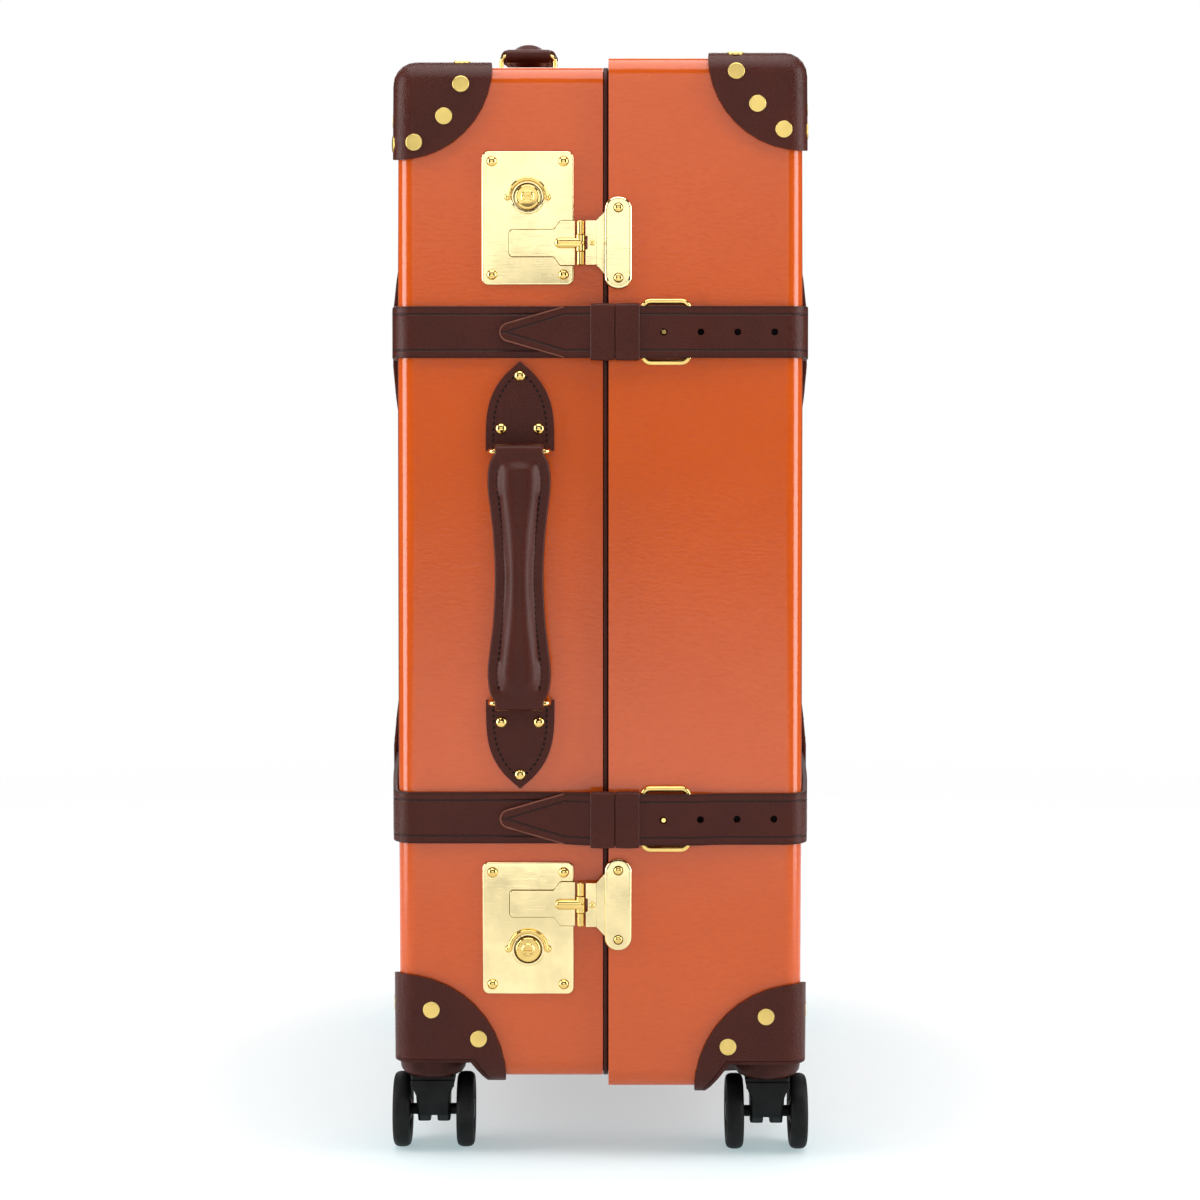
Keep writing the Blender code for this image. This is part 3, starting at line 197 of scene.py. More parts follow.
# Straps
CREASE_HALF = 12.5 * MM
CREASE_POINT = -66 * MM
CREASE_FULL = -25 * MM
LOOP_WALL = 1.5 * MM
LOOP_SPLIT = 0.3 * MM
LOOP_ROUND = 1.2 * MM
LOOP_SOFT = 0.5 * MM
LOOP_CROWN = 0.25 * MM
LOOP_STEPS = 5
LOOP_RUNS = (2, 6)
BILLET_HALF = 18 * MM
BILLET_FULL = -25.3 * MM
BILLET_NOSE = 7 * MM
BILLET_STEPS = 8
BILLET_EDGE = 0.55 * MM
BILLET_EDGE_SINK = 0.4
HOLE_PITCH = 25.8 * MM
HOLE_COUNT = 4
# Discs of painted shade inside the strap holes
HOLE_SHADE_RADIUS = 2.9 * MM
HOLE_SHADE_LEVELS = (0.1 * MM, 0.4 * MM)
BUCKLE_ROUND = 5 * MM
PRONG_LENGTH = 16.3 * MM
PRONG_BEND = 2.5 * MM
PRONG_STEPS = 5
PRONG_RADIUS = 1.5 * MM
PRONG_TIP = 0.6 * MM
PRONG_ROLL = (2.6 * MM, 3 * MM)

# Casters, in millimetres: profiles of radius and height, fork levels of height, half width, front and back
WHEEL_HALF = 6.25
TYRE_SIDE = ((18.5, 4.6), (20.5, 5.7), (23.2, 6.2), (25.0, 5.5), (26.2, 3.9), (26.67, 1.8))
HUB_SIDE = ((3.0, 6.0), (6.2, 6.0), (7.4, 5.0), (8.2, 2.6), (18.8, 2.3))
SPOKE_STATIONS = ((7.0, 1.5, 4.8), (12.0, 1.3, 4.4), (18.6, 1.6, 4.0))
SPOKE_ROUND = 0.6
SPOKE_STEPS = 2
SPOKE_COUNT = 9
AXLE_RADIUS = 4
TURRET_PROFILE = (
    (4.0, 0.0),
    (4.0, 8.8),
    (23.6, 9.0),
    (23.6, 14.2),
    (22.9, 18.2),
    (20.9, 20.9),
    (17.6, 22.5),
    (10.0, 23.0),
)
FORK_SIDE = 11.5
FORK_NOTCH = 2.4
FORK_FOOT_HALF = (FORK_SIDE - FORK_NOTCH) / 2
FORK_BODY = (
    (57, 15.2, -15, 15),
    (50, 15.2, -15, 18),
    (42, 11.9, -12.5, 20),
    (33, 11.7, -7, 21),
    (25.5, FORK_SIDE, -1, 21),
)
FORK_FOOT = ((26, FORK_FOOT_HALF, -1, 21), (20, FORK_FOOT_HALF, 5, 19))
FORK_FRONT = ((49.5, 15.4, -16.4, -13), (54, 15.4, -16.4, -13))
FORK_ROUND = 2
FORK_STEPS = 4
FORK_FRONT_ROUND = 1
FORK_FRONT_STEPS = 3
FORK_SOFT = 0.8 * MM

# Locks
LOCK_AIR = 0.3 * MM
HASP_BARREL = 3.2 * MM
LEAF_THICKNESS = 1.8 * MM
LEAF_HALVES = (9.3 * MM, 15.4 * MM)
LEAF_NECK = (13.6 * MM, 19.7 * MM)
LEAF_REACH = 49.8 * MM
LEAF_ROOT = 3.9 * MM
LEAF_CORNER = 2.4 * MM
LEAF_SOFT = 0.5 * MM
LEAF_STEPS = 10
# Band of painted shade round each hasp leaf
LEAF_SHADE_GROW = 0.55 * MM
LEAF_SHADE_RISE = 0.18 * MM
LEAF_SHADE_ROOTS = (4.9 * MM, 5.9 * MM)
BAR_REACH = (-18.3 * MM, 2.9 * MM)
BAR_HALF = 3.7 * MM
BAR_SOFT = 3.1 * MM
BAR_FRONT = 3.4 * MM
STRIKE_HALF_WIDTH = 9.7 * MM
STRIKE_ROUND = 9.2 * MM
STRIKE_RISE = 2.8 * MM
STRIKE_SOFT = 2.4 * MM
STRIKE_RIVET = 5.88 * MM
STRIKE_RIVET_RISE = 0.3
STRIKE_RIVET_STEP = 24.4 * MM
# Ring of painted shade round each strike rivet, radius and height in millimetres
STRIKE_RIVET_SHADE = ((2.94, 0.0), (3.5, 0.0), (3.5, 0.1), (2.94, 0.1))
BARREL_RADIUS = 2.6 * MM
BARREL_SPAN = (5.9 * MM, 15.4 * MM)
BARREL_SOFT = 0.5 * MM
ARM_START = 3.5 * MM
ARM_WINDOW = (4.9 * MM, 4.6 * MM)
ARM_BEND = 10.9 * MM
ARM_END = 18.6 * MM
ARM_FLARE = 24 * MM
ARM_BACK = -0.4 * MM
ARM_FOOT = 0.8 * MM
ARM_SOFT = 0.35 * MM
KNOB_RUN = 8 * MM
KNOB_SIZE = 4.2 * MM
KNOB_RISE = 0.5
KEY_RING = ((2.9, -0.3), (2.9, 0.4), (3.3, 0.75), (4.1, 0.75), (4.6, 0.3), (4.6, -0.3))
# Ring of painted shade round the key, radius and height in millimetres
KEY_GROOVE_SHADE = ((9.35, -0.2), (9.35, 0.1), (10.0, 0.1), (10.0, -0.2))
KEY_RING_TOP = 2.5 * MM
BAIL_RADIUS = 12.7 * MM
BAIL_WIRE = 1.5 * MM
BAIL_STEPS = 28
EAR_REACH = 13.9 * MM
EAR_SINK = 1.2 * MM
EAR_SIZE = 5 * MM

# Stage, in metres: each light has a place, a target, a size and the setting of its watts
FLOOR_RADIUS = 2.2
FLOOR_SIDES = 96
FLOOR_FADE = 0.9
GLOW_EDGES = (0.24, 0.45)
STAGE_MIDDLE = (0.0, 0.0, 0.4)
STAGE_LIGHTS = {
    "front_panel": ((0.0, -5.5, 2.1), (0.0, 0.0, 0.9), (6.0, 2.7), "panel"),
    "floor_card": ((0.0, -3.9, 0.02), (0.0, -3.9, 2.0), (3.0, 5.0), "card"),
    "rear_panel": ((0.0, 4.5, 2.8), (0.0, 0.0, 0.5), (4.0, 2.0), "rear"),
    "left_side": ((-2.2, -0.5, 0.9), STAGE_MIDDLE, (1.2, 2.4), "sides"),
    "right_side": ((2.2, -0.5, 0.9), STAGE_MIDDLE, (1.2, 2.4), "sides"),
    "overhead": ((0.0, -0.3, 2.7), STAGE_MIDDLE, (2.6, 2.6), "top"),
}
SENSOR_WIDTH = 36.0


def linear(red, green, blue):
    """Linear colour of a screen colour given in steps of 255."""
    shares = []
    for step in (red, green, blue):
        share = step / 255
        shares.append(share / 12.92 if share <= 0.04045 else ((share + 0.055) / 1.055) ** 2.4)
    return tuple(shares)


def number(name, description, default, **options):
    """Property for a number that is not negative."""
    return FloatProperty(name=name, description=description, default=default, min=0.0, **options)


length = partial(number, unit="LENGTH", precision=5)


def colour(name, description, default):
    """Property for a colour."""
    return FloatVectorProperty(
        name=name, description=description, default=default, min=0.0, max=1.0, subtype="COLOR"
    )


class SuitcaseSizes(bpy.types.PropertyGroup):
    """Sizes of the details that the scene adds."""

    disc_rivet: length("Disc rivet", "Diameter of the flat corner rivets", 11.6 * MM)
    plate_rivet: length("Plate rivet", "Diameter of the domed lock plate rivets", 7.6 * MM)
    patch_rivet: length("Patch rivet", "Diameter of the domed rivets of handle patches", 8.4 * MM)
    stitch_pitch: length("Stitch pitch", "Distance from one stitch to the next", 4.0 * MM)
    thread: length("Thread", "Thickness of the sewing thread", 1.25 * MM)
    ring_wire: length("Ring wire", "Diameter of the handle rings' wire", 3.6 * MM)
    buckle_wire: length("Buckle wire", "Diameter of the buckles' wire", 4.2 * MM)


class SuitcaseColours(bpy.types.PropertyGroup):
    """Base colours of the finishes."""

    fibreboard: colour("Fibreboard", "Lacquered shells", linear(196, 81, 18))
    fibre: colour("Fibre", "Darker fibres in the shells", linear(176, 63, 13))
    leather: colour("Leather", "Corners, straps and handles", linear(68, 26, 17))
    # Dark leather: a darker tone that drifts at random, the painted shade of the straps' pressed lines, and
    # the darker strap edges
    leather_dark: colour("Dark leather", "Creases in the leather", linear(38, 14, 10))
    # The billets' polished cut edges, their lighter leather a painted highlight
    burnish: colour("Burnish and highlight", "Polished cut edges of the straps", linear(104, 62, 50))
    brass: colour("Brass", "Polished plates of locks and hinges", (0.93, 0.78, 0.42))
    gilt: colour("Gilt", "Domed rivets, buckles, rings and keys", (0.84, 0.60, 0.20))
    satin_brass: colour("Satin brass", "Flat corner rivets", (0.80, 0.60, 0.19))
    # Painted shade: dark brass laid in the gaps round the hasp leaves, round the strike rivets and round
    # the keys
    tarnish: colour("Gap shade", "Dark brass in grooves and gaps", linear(92, 62, 20))
    moulding: colour("Moulding", "Wheel cups and caster turrets", linear(50, 19, 13))
    plastic: colour("Black plastic", "Caster forks, hubs and pull handle", linear(10, 10, 10))
    rubber: colour("Rubber", "Tyres", linear(17, 17, 17))
    steel: colour("Steel", "Pull tubes and button", (0.62, 0.62, 0.64))
    thread: colour("Thread", "Sewing thread", linear(12, 6, 5))
    lining: colour("Lining", "Cloth inside the case", linear(176, 150, 118))


class SuitcaseStage(bpy.types.PropertyGroup):
    """Floor, lights and camera."""

    floor: colour("Floor", "Pale studio floor", (0.45, 0.45, 0.45))
    floor_glow: colour("Floor glow", "Light of the floor away from the case", (0.5, 0.5, 0.5))
    near_glow: colour("Near glow", "Light of the floor by the case, against its tint", (0.34, 0.44, 0.46))
    room: number("Room", "Strength of the room's own light", 0.09)
    panel: number("Panel", "Watts of the panel behind the camera", 74.0)
    card: number("Card", "Watts of the white card on the floor", 80.0)
    sides: number("Sides", "Watts of each side light", 58.0)
    top: number("Top", "Watts of the overhead light", 75.0)
    rear: number("Rear", "Watts of the light behind the case", 60.0)
    lens: number("Lens", "Focal length in millimetres", 85.9)
    distance: length("Distance", "Camera distance in front of the middle", 2.255)
    height: length("Height", "Camera height above the floor", 0.543)
    tilt: number("Tilt", "Downward tilt of the camera", math.radians(1.8), subtype="ANGLE")
    shift: FloatProperty(name="Shift", description="Vertical shift of the lens", default=-0.0988)


HOLDERS = {
    "suitcase_sizes": SuitcaseSizes,
    "suitcase_colours": SuitcaseColours,
    "suitcase_stage": SuitcaseStage,
}


def sizes():
    """Sizes set in the scene."""
    return bpy.context.scene.suitcase_sizes


def colours():
    """Colours set in the scene, each with its alpha."""
    held = bpy.context.scene.suitcase_colours
    return {name: (*getattr(held, name), 1.0) for name in SuitcaseColours.__annotations__}


# Shader building


def add(tree, kind, values=None, **options):
    """New node with its options set, and its inputs set to values or linked to sockets."""
    node = tree.nodes.new(kind)
    for key, value in options.items():
        setattr(node, key, value)
    for key, value in (values or {}).items():
        if isinstance(value, bpy.types.NodeSocket):
            tree.links.new(value, node.inputs[key])
        else:
            node.inputs[key].default_value = value
    return node


def maths(tree, operation, *values, clamp=False):
    """Result of a maths node."""
    node = add(tree, "ShaderNodeMath", dict(enumerate(values)), operation=operation, use_clamp=clamp)
    return node.outputs[0]


def vector_maths(tree, operation, *values):
    """Outputs of a vector maths node."""
    return add(tree, "ShaderNodeVectorMath", dict(enumerate(values)), operation=operation).outputs


def ramp(tree, value, low, high, start=0.0, end=1.0):
    """Value eased from start to end as it goes from low to high."""
    values = {"Value": value, "From Min": low, "From Max": high, "To Min": start, "To Max": end}
    return add(tree, "ShaderNodeMapRange", values, interpolation_type="SMOOTHSTEP").outputs["Result"]


def blended(tree, share, first, second):
    """Colour mixed from two by a share."""
    node = add(tree, "ShaderNodeMix", {0: share, 6: first, 7: second}, data_type="RGBA")
    return node.outputs[2]


def object_spot(tree):
    """Object coordinates."""
    return add(tree, "ShaderNodeTexCoord").outputs["Object"]


def stretched(tree, scale):
    """Object coordinates, stretched by a scale."""
    return add(tree, "ShaderNodeMapping", {"Vector": object_spot(tree), "Scale": scale}).outputs["Vector"]


def parts(tree, vector):
    """X, Y and Z of a vector."""
    return add(tree, "ShaderNodeSeparateXYZ", {0: vector}).outputs


def noise(tree, vector, scale, detail=3.0, rough=0.5):
    """Noise value over the surface."""
    values = {"Vector": vector, "Scale": scale, "Detail": detail, "Roughness": rough}
    return add(tree, "ShaderNodeTexNoise", values).outputs[0]


def new_group(name, takes, gives):
    """Shader node group with its named inputs and outputs; returns the tree and its input sockets."""
    tree = bpy.data.node_groups.new(name, "ShaderNodeTree")
    for title, kind, default in takes:
        socket = tree.interface.new_socket(title, in_out="INPUT", socket_type=kind)
        socket.default_value = default
    for title, kind in gives:
        tree.interface.new_socket(title, in_out="OUTPUT", socket_type=kind)
    return tree, add(tree, "NodeGroupInput").outputs


def place_group(tree, name, values):
    """Outputs of a node group set in a material with its own values."""
    return add(tree, "ShaderNodeGroup", values, node_tree=bpy.data.node_groups[name]).outputs


FLOAT = "NodeSocketFloat"
TINT = "NodeSocketColor"
GREY = (0.5, 0.5, 0.5, 1.0)


def make_mottle():
    """Group of soft colour drift between two tints."""
    takes = (("First", TINT, GREY), ("Second", TINT, GREY), ("Scale", FLOAT, 20.0))
    tree, given = new_group("Mottle", takes, (("Colour", TINT),))
    mask = ramp(tree, noise(tree, object_spot(tree), given["Scale"], 5.0, 0.6), 0.32, 0.68)
    add(tree, "NodeGroupOutput", {"Colour": blended(tree, mask, given["First"], given["Second"])})


def make_grain():
    """Group of leather grain: small cells with fine pores."""
    takes = (("Scale", FLOAT, 700.0), ("Pores", FLOAT, 0.3))
    tree, given = new_group("Leather grain", takes, (("Height", FLOAT), ("Mask", FLOAT)))
    spot = object_spot(tree)
    drift = add(tree, "ShaderNodeTexNoise", {"Vector": spot, "Scale": 260.0}).outputs["Color"]
    bent = vector_maths(tree, "MULTIPLY", drift, (0.0025, 0.0025, 0.0025))[0]
    values = {"Vector": vector_maths(tree, "ADD", spot, bent)[0], "Scale": given["Scale"]}
    cells = add(tree, "ShaderNodeTexVoronoi", values, feature="DISTANCE_TO_EDGE").outputs["Distance"]
    pebble = ramp(tree, cells, 0.0, 0.22)
    pores = noise(tree, spot, 2600.0, 2.0)
    height = maths(tree, "ADD", pebble, maths(tree, "MULTIPLY", pores, given["Pores"]))
    add(tree, "NodeGroupOutput", {"Height": height, "Mask": pebble})


def make_wear():
    """Group of handling marks: cloudy smears and fine scratches as a roughness."""
    takes = (("Polished", FLOAT, 0.15), ("Worn", FLOAT, 0.3), ("Scale", FLOAT, 30.0))
    tree, given = new_group("Handling wear", takes, (("Roughness", FLOAT), ("Scratches", FLOAT)))
    smears = ramp(tree, noise(tree, object_spot(tree), given["Scale"], 4.0, 0.6), 0.35, 0.75)
    lines = noise(tree, stretched(tree, (60.0, 60.0, 2200.0)), 1.0, 2.0)
    scratches = ramp(tree, lines, 0.62, 0.72)
    share = maths(tree, "MULTIPLY_ADD", scratches, 0.35, maths(tree, "MULTIPLY", smears, 0.65), clamp=True)
    spread = maths(tree, "SUBTRACT", given["Worn"], given["Polished"])
    rough = maths(tree, "MULTIPLY_ADD", share, spread, given["Polished"])
    add(tree, "NodeGroupOutput", {"Roughness": rough, "Scratches": scratches})


def make_crease():
    """Group of the pressed line along a strap's edges, closing to a point on a billet."""
    takes = (
        ("Middle", FLOAT, 0.4),
        ("Spread", FLOAT, 0.17),
        ("Half width", FLOAT, 0.0125),
        ("Point", FLOAT, -9.0),
        ("Full", FLOAT, -8.0),
    )
    tree, given = new_group("Strap crease", takes, (("Groove", FLOAT), ("Edge", FLOAT)))
    spot = parts(tree, object_spot(tree))
    off = maths(tree, "ABSOLUTE", maths(tree, "SUBTRACT", spot["Z"], given["Middle"]))
    away = maths(tree, "ABSOLUTE", maths(tree, "SUBTRACT", off, given["Spread"]))
    values = {"Value": spot["X"], "From Min": given["Point"], "From Max": given["Full"]}
    taper = add(tree, "ShaderNodeMapRange", values).outputs["Result"]
    line = maths(tree, "MULTIPLY", taper, given["Half width"])
    near = maths(tree, "ABSOLUTE", maths(tree, "SUBTRACT", away, line))
    # Mask of the pressed line, for its relief and for painted shade
    groove = ramp(tree, near, 0.0003, 0.0011, 1.0, 0.0)
    edge = ramp(tree, away, 0.0155, 0.0178)
    add(tree, "NodeGroupOutput", {"Groove": groove, "Edge": edge})


def mottled(tree, first, second, scale):
    """Colour that drifts between two tints."""
    return place_group(tree, "Mottle", {"First": first, "Second": second, "Scale": scale})["Colour"]


def handled(tree, polished, worn, scale):
    """Roughness and scratches of a surface that is handled."""
    return place_group(tree, "Handling wear", {"Polished": polished, "Worn": worn, "Scale": scale})


def shaded(tint, factor, lift=0.0):
    """Tint made darker or lighter."""
    return (*(min(share * factor + lift, 1.0) for share in tint[:3]), 1.0)


def new_finish(name, values):
    """Material with a principled shader; returns the material, its tree and its shader."""
    made = bpy.data.materials.new(name)
    made.use_nodes = True
    tree = made.node_tree
    shader = tree.nodes["Principled BSDF"]
    for key, value in values.items():
        shader.inputs[key].default_value = value
    return made, tree, shader


def wire_up(tree, shader, base, rough, height, depth, strength):
    """Link colour, roughness and relief to a shader."""
    tree.links.new(base, shader.inputs["Base Color"])
    if rough:
        tree.links.new(rough, shader.inputs["Roughness"])
    values = {"Height": height, "Distance": depth, "Strength": strength}
    tree.links.new(add(tree, "ShaderNodeBump", values).outputs["Normal"], shader.inputs["Normal"])


def fibreboard_finish(tints):
    """Lacquered fibreboard with fine wrinkles that run round the case."""
    made, tree, shader = new_finish("fibreboard_lacquer", {"Specular IOR Level": 0.5})
    plain = tints["fibreboard"]
    dark = tints["fibre"]
    fibres = noise(tree, stretched(tree, (170.0, 170.0, 520.0)), 1.0, 6.0, 0.62)
    waves = noise(tree, stretched(tree, (9.0, 9.0, 16.0)), 1.0, 2.0)
    threads = maths(tree, "MULTIPLY", ramp(tree, fibres, 0.40, 0.72), 0.35)
    drift = blended(tree, 0.15, plain, mottled(tree, plain, dark, 14.0))
    rough = ramp(tree, fibres, 0.3, 0.7, 0.10, 0.17)
    height = maths(tree, "ADD", waves, fibres)
    wire_up(tree, shader, blended(tree, threads, drift, dark), rough, height, 0.0003, 0.28)
    return made


def leather_finish(name, tints, grain, depth, crease=None):
    """Smooth leather with a small grain, and where it is a strap, a pressed line darkened as painted shade
    and darker edges.
    """
    made, tree, shader = new_finish(name, {"Specular IOR Level": 0.17})
    plain = tints["leather"]
    dark = tints["leather_dark"]
    cells = place_group(tree, "Leather grain", {"Scale": grain})
    base = blended(tree, 0.25, plain, mottled(tree, plain, dark, 24.0))
    rough = ramp(tree, cells["Mask"], 0.0, 1.0, 0.38, 0.27)
    height = cells["Height"]
    if crease:
        line = place_group(tree, "Strap crease", crease)
        # Painted shade: the pressed line's groove is darkened; the band by the strap's edges is darker as
        # well
        marks = maths(tree, "MAXIMUM", line["Groove"], maths(tree, "MULTIPLY", line["Edge"], 0.7))
        base = blended(tree, marks, base, dark)
        height = maths(tree, "MULTIPLY_ADD", line["Groove"], -7.0, height)
    wire_up(tree, shader, base, rough, height, depth, 0.8)
    return made


def metal_finish(name, tint, polished, worn, scale):
    """Metal with handling marks."""
    made, tree, shader = new_finish(name, {"Metallic": 1.0, "Base Color": tint})
    marks = handled(tree, polished, worn, scale)
    base = mottled(tree, tint, shaded(tint, 0.86), 45.0)
    wire_up(tree, shader, base, marks["Roughness"], marks["Scratches"], 0.00001, 0.3)
    return made


def moulded_finish(name, tint, grain, polished, worn):
    """Moulded plastic or rubber with a fine texture."""
    made, tree, shader = new_finish(name, {"Base Color": tint, "Specular IOR Level": 0.12})
    base = mottled(tree, tint, shaded(tint, 1.5, 0.004), 60.0)
    rough = handled(tree, polished, worn, 50.0)["Roughness"]
    fine = noise(tree, object_spot(tree), grain, 2.0)
    wire_up(tree, shader, base, rough, fine, 0.0001, 0.35)
    return made


def pull_finish(tints, split):
    """Steel tubes below the pull handle's grip, textured plastic above."""
    made, tree, shader = new_finish("pull_handle_finish", {})
    grip = maths(tree, "GREATER_THAN", parts(tree, object_spot(tree))["Z"], split)
    tree.links.new(maths(tree, "SUBTRACT", 1.0, grip), shader.inputs["Metallic"])
    steel = handled(tree, 0.34, 0.42, 30.0)["Roughness"]
    rough = maths(tree, "ADD", steel, ramp(tree, grip, 0.0, 1.0, 0.0, 0.2))
    fine = maths(tree, "MULTIPLY", noise(tree, object_spot(tree), 1800.0, 2.0), grip)
    base = blended(tree, grip, tints["steel"], tints["plastic"])
    wire_up(tree, shader, base, rough, fine, 0.0001, 0.35)
    return made


def cloth_finish(name, tint, count, relief, sheen):
    """Plain woven cloth or twisted thread."""
    values = {"Roughness": 0.85, "Sheen Weight": sheen, "Specular IOR Level": 0.2}
    made, tree, shader = new_finish(name, values)
    spot = parts(tree, stretched(tree, (count,) * 3))
    warp = maths(tree, "SINE", maths(tree, "ADD", spot["X"], spot["Y"]))
    weft = maths(tree, "SINE", spot["Z"])
    weave = ramp(tree, maths(tree, "MULTIPLY", warp, weft), -1.0, 1.0)
    darker = shaded(tint, 0.75)
    base = blended(tree, maths(tree, "MULTIPLY", weave, 0.5), mottled(tree, tint, darker, 90.0), darker)
    wire_up(tree, shader, base, None, weave, relief, 0.6)
    return made


FINISHES = {}


def make_finishes():
    """All groups and finishes, kept by name."""
    make_mottle()
    make_grain()
    make_wear()
    make_crease()
    tints = colours()
    upper = centre_of("upper_strap_base").z
    lower = centre_of("lower_strap_base").z
    straight = {"Middle": (upper + lower) / 2, "Spread": (upper - lower) / 2, "Half width": CREASE_HALF}
    pointed = {**straight, "Point": CREASE_POINT, "Full": CREASE_FULL}
    FINISHES.update(
        fibreboard=fibreboard_finish(tints),
        leather=leather_finish("corner_leather", tints, 620.0, 0.00010),
        strap=leather_finish("strap_leather", tints, 760.0, 0.00008, straight),
        billet=leather_finish("billet_leather", tints, 760.0, 0.00008, pointed),
        grip=leather_finish("grip_leather", tints, 900.0, 0.00005),
        # Lighter leather of the billets' cut edges, a painted highlight
        burnish=moulded_finish("burnished_edge", tints["burnish"], 1200.0, 0.3, 0.45),
        brass=metal_finish("polished_brass", tints["brass"], 0.07, 0.20, 25.0),
        gilt=metal_finish("gilt_brass", tints["gilt"], 0.09, 0.22, 25.0),
        satin=metal_finish("satin_brass", tints["satin_brass"], 0.36, 0.5, 80.0),
        steel=metal_finish("brushed_steel", tints["steel"], 0.2, 0.36, 30.0),
        plastic=moulded_finish("black_plastic_moulded", tints["plastic"], 1500.0, 0.38, 0.52),
        cup=moulded_finish("brown_moulding", tints["moulding"], 1200.0, 0.36, 0.5),
        # Dark brass used as painted shade in the gaps round the lock parts
        tarnish=metal_finish("tarnished_brass", tints["tarnish"], 0.4, 0.6, 60.0),
        rubber=moulded_finish("tyre_rubber", tints["rubber"], 1100.0, 0.5, 0.68),
        pull=pull_finish(tints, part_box("trolley_bezel")[1].z),
        thread=cloth_finish("sewing_thread", tints["thread"], 5200.0, 0.0001, 0.0),
        lining=cloth_finish("lining_cloth", tints["lining"], 3000.0, 0.0002, 0.2),
    )


# Mesh building


def centre_of(node):
    """Middle of a solid's box."""
    low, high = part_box(node)
    return (low + high) / 2


def in_mm(pairs):
    """Pairs of millimetres as lengths."""
    return [(a * MM, b * MM) for a, b in pairs]


def facing(point, normal, upright=UP):
    """Placing matrix at a point whose Z axis is the normal."""
    axis = Vector(normal).normalized()
    guide = upright if abs(axis.dot(upright)) < 0.9 else X_AXIS
    side = guide.cross(axis).normalized()
    turn = Matrix((side, axis.cross(side), axis)).transposed()
    return Matrix.Translation(point) @ turn.to_4x4()


SURFACES = {}


def touch(node, origin, direction):
    """Point and normal where a ray meets a solid."""
    if node not in SURFACES:
        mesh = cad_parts[node].data
        points = [vertex.co.copy() for vertex in mesh.vertices]
        SURFACES[node] = BVHTree.FromPolygons(points, [tuple(face.vertices) for face in mesh.polygons])
    point, normal, _, _ = SURFACES[node].ray_cast(origin, direction)
    if point is None:
        raise RuntimeError(f"No surface of {node} at {tuple(origin)}")
    return point, normal if normal.dot(direction) < 0 else -normal


def bridge(work, low, high):
    """Faces between two rings of vertices."""
    for i in range(len(low)):
        j = (i + 1) % len(low)
        work.faces.new((low[i], low[j], high[j], high[i]))


def sweep(work, rings, loop=False, caps=True):
    """Skin through rings of equal count, joined end to start or closed by flat caps."""
    rows = [[work.verts.new(point) for point in ring] for ring in rings]
    for low, high in zip(rows, rows[1:]):
        bridge(work, low, high)
    if loop:
        bridge(work, rows[-1], rows[0])
    elif caps:
        work.faces.new(rows[0])
        work.faces.new(rows[-1])
    return rows


def prism(work, outline, levels, at):
    """Straight form of an outline between levels, at giving the point of a pair on a level."""
    sweep(work, [[at(a, b, level) for a, b in outline] for level in levels])


def circle(radius, sides):
    """Points of a circle as pairs."""
    angles = [math.tau * i / sides for i in range(sides)]
    return [(radius * math.cos(angle), radius * math.sin(angle)) for angle in angles]


def quarter(steps):
    """Cosines and sines of a quarter turn."""
    angles = [math.pi / 2 * i / steps for i in range(steps + 1)]
    return [(math.cos(angle), math.sin(angle)) for angle in angles]


def turned(work, profile, place, loop=False, sides=ROUND_SIDES):
    """Round form of a profile of radius and height about the place's Z axis."""
    rings = []
    for radius, height in profile:
        rings.append([place @ Vector((a, b, height)) for a, b in circle(radius, sides)])
    sweep(work, rings, loop=loop)


def soft_rod(radius, start, end, soft):
    """Profile of a rod with softened ends."""
    return ((radius - soft, start), (radius, start + soft), (radius, end - soft), (radius - soft, end))


def rounded(half_a, half_b, radius, steps, runs=(1, 1)):
    """Points of a rounded rectangle whose straight sides are cut into runs."""
    arcs = []
    for k, (sa, sb) in enumerate(((1, 1), (-1, 1), (-1, -1), (1, -1))):
        arc = []
        for i in range(steps + 1):
            angle = math.pi / 2 * (k + i / steps)
            a = sa * (half_a - radius) + radius * math.cos(angle)
            b = sb * (half_b - radius) + radius * math.sin(angle)
            arc.append(Vector((a, b)))
        arcs.append(arc)
    points = []
    for k, arc in enumerate(arcs):
        points += arc
        end = arcs[(k + 1) % 4][0]
        cuts = runs[k % 2]
        points += [arc[-1].lerp(end, i / cuts) for i in range(1, cuts)]
    return points


def soft_slab(work, half_a, half_b, radius, place, low, high, soft):
    """Rounded slab between two heights of a place, its high end rounded over."""
    levels = [(low, 0.0)]
    levels += [(high - soft + soft * sine, soft * (1 - cosine)) for cosine, sine in quarter(SOFT_STEPS)]
    rings = []
    for level, inset in levels:
        pairs = rounded(half_a - inset, half_b - inset, max(radius - inset, WELD), SLAB_STEPS)
        rings.append([place @ Vector((a, b, level)) for a, b in pairs])
    sweep(work, rings)


def wire(work, path, radius, across, loop=True, sides=WIRE_SIDES):
    """Round wire along a flat path, across being the path's normal."""
    count = len(path)
    rings = []
    for i, point in enumerate(path):
        before = path[i - 1] if loop or i else path[0]
        after = path[(i + 1) % count] if loop or i + 1 < count else path[-1]
        tangent = (after - before).normalized()
        side = tangent.cross(across).normalized()
        over = side.cross(tangent)
        rings.append([point + side * a + over * b for a, b in circle(radius, sides)])
    sweep(work, rings, loop=loop)


def dome(work, place, diameter, rise=DOME_RISE):
    """Domed rivet head, sunk a little into what it holds."""
    radius = diameter / 2
    profile = []
    for step in DOME_ANGLES:
        angle = math.radians(step)
        profile.append((radius * math.cos(angle), radius * 2 * rise * math.sin(angle)))
    turned(work, profile + [(radius, -DOME_SINK)], place, sides=DOME_SIDES)


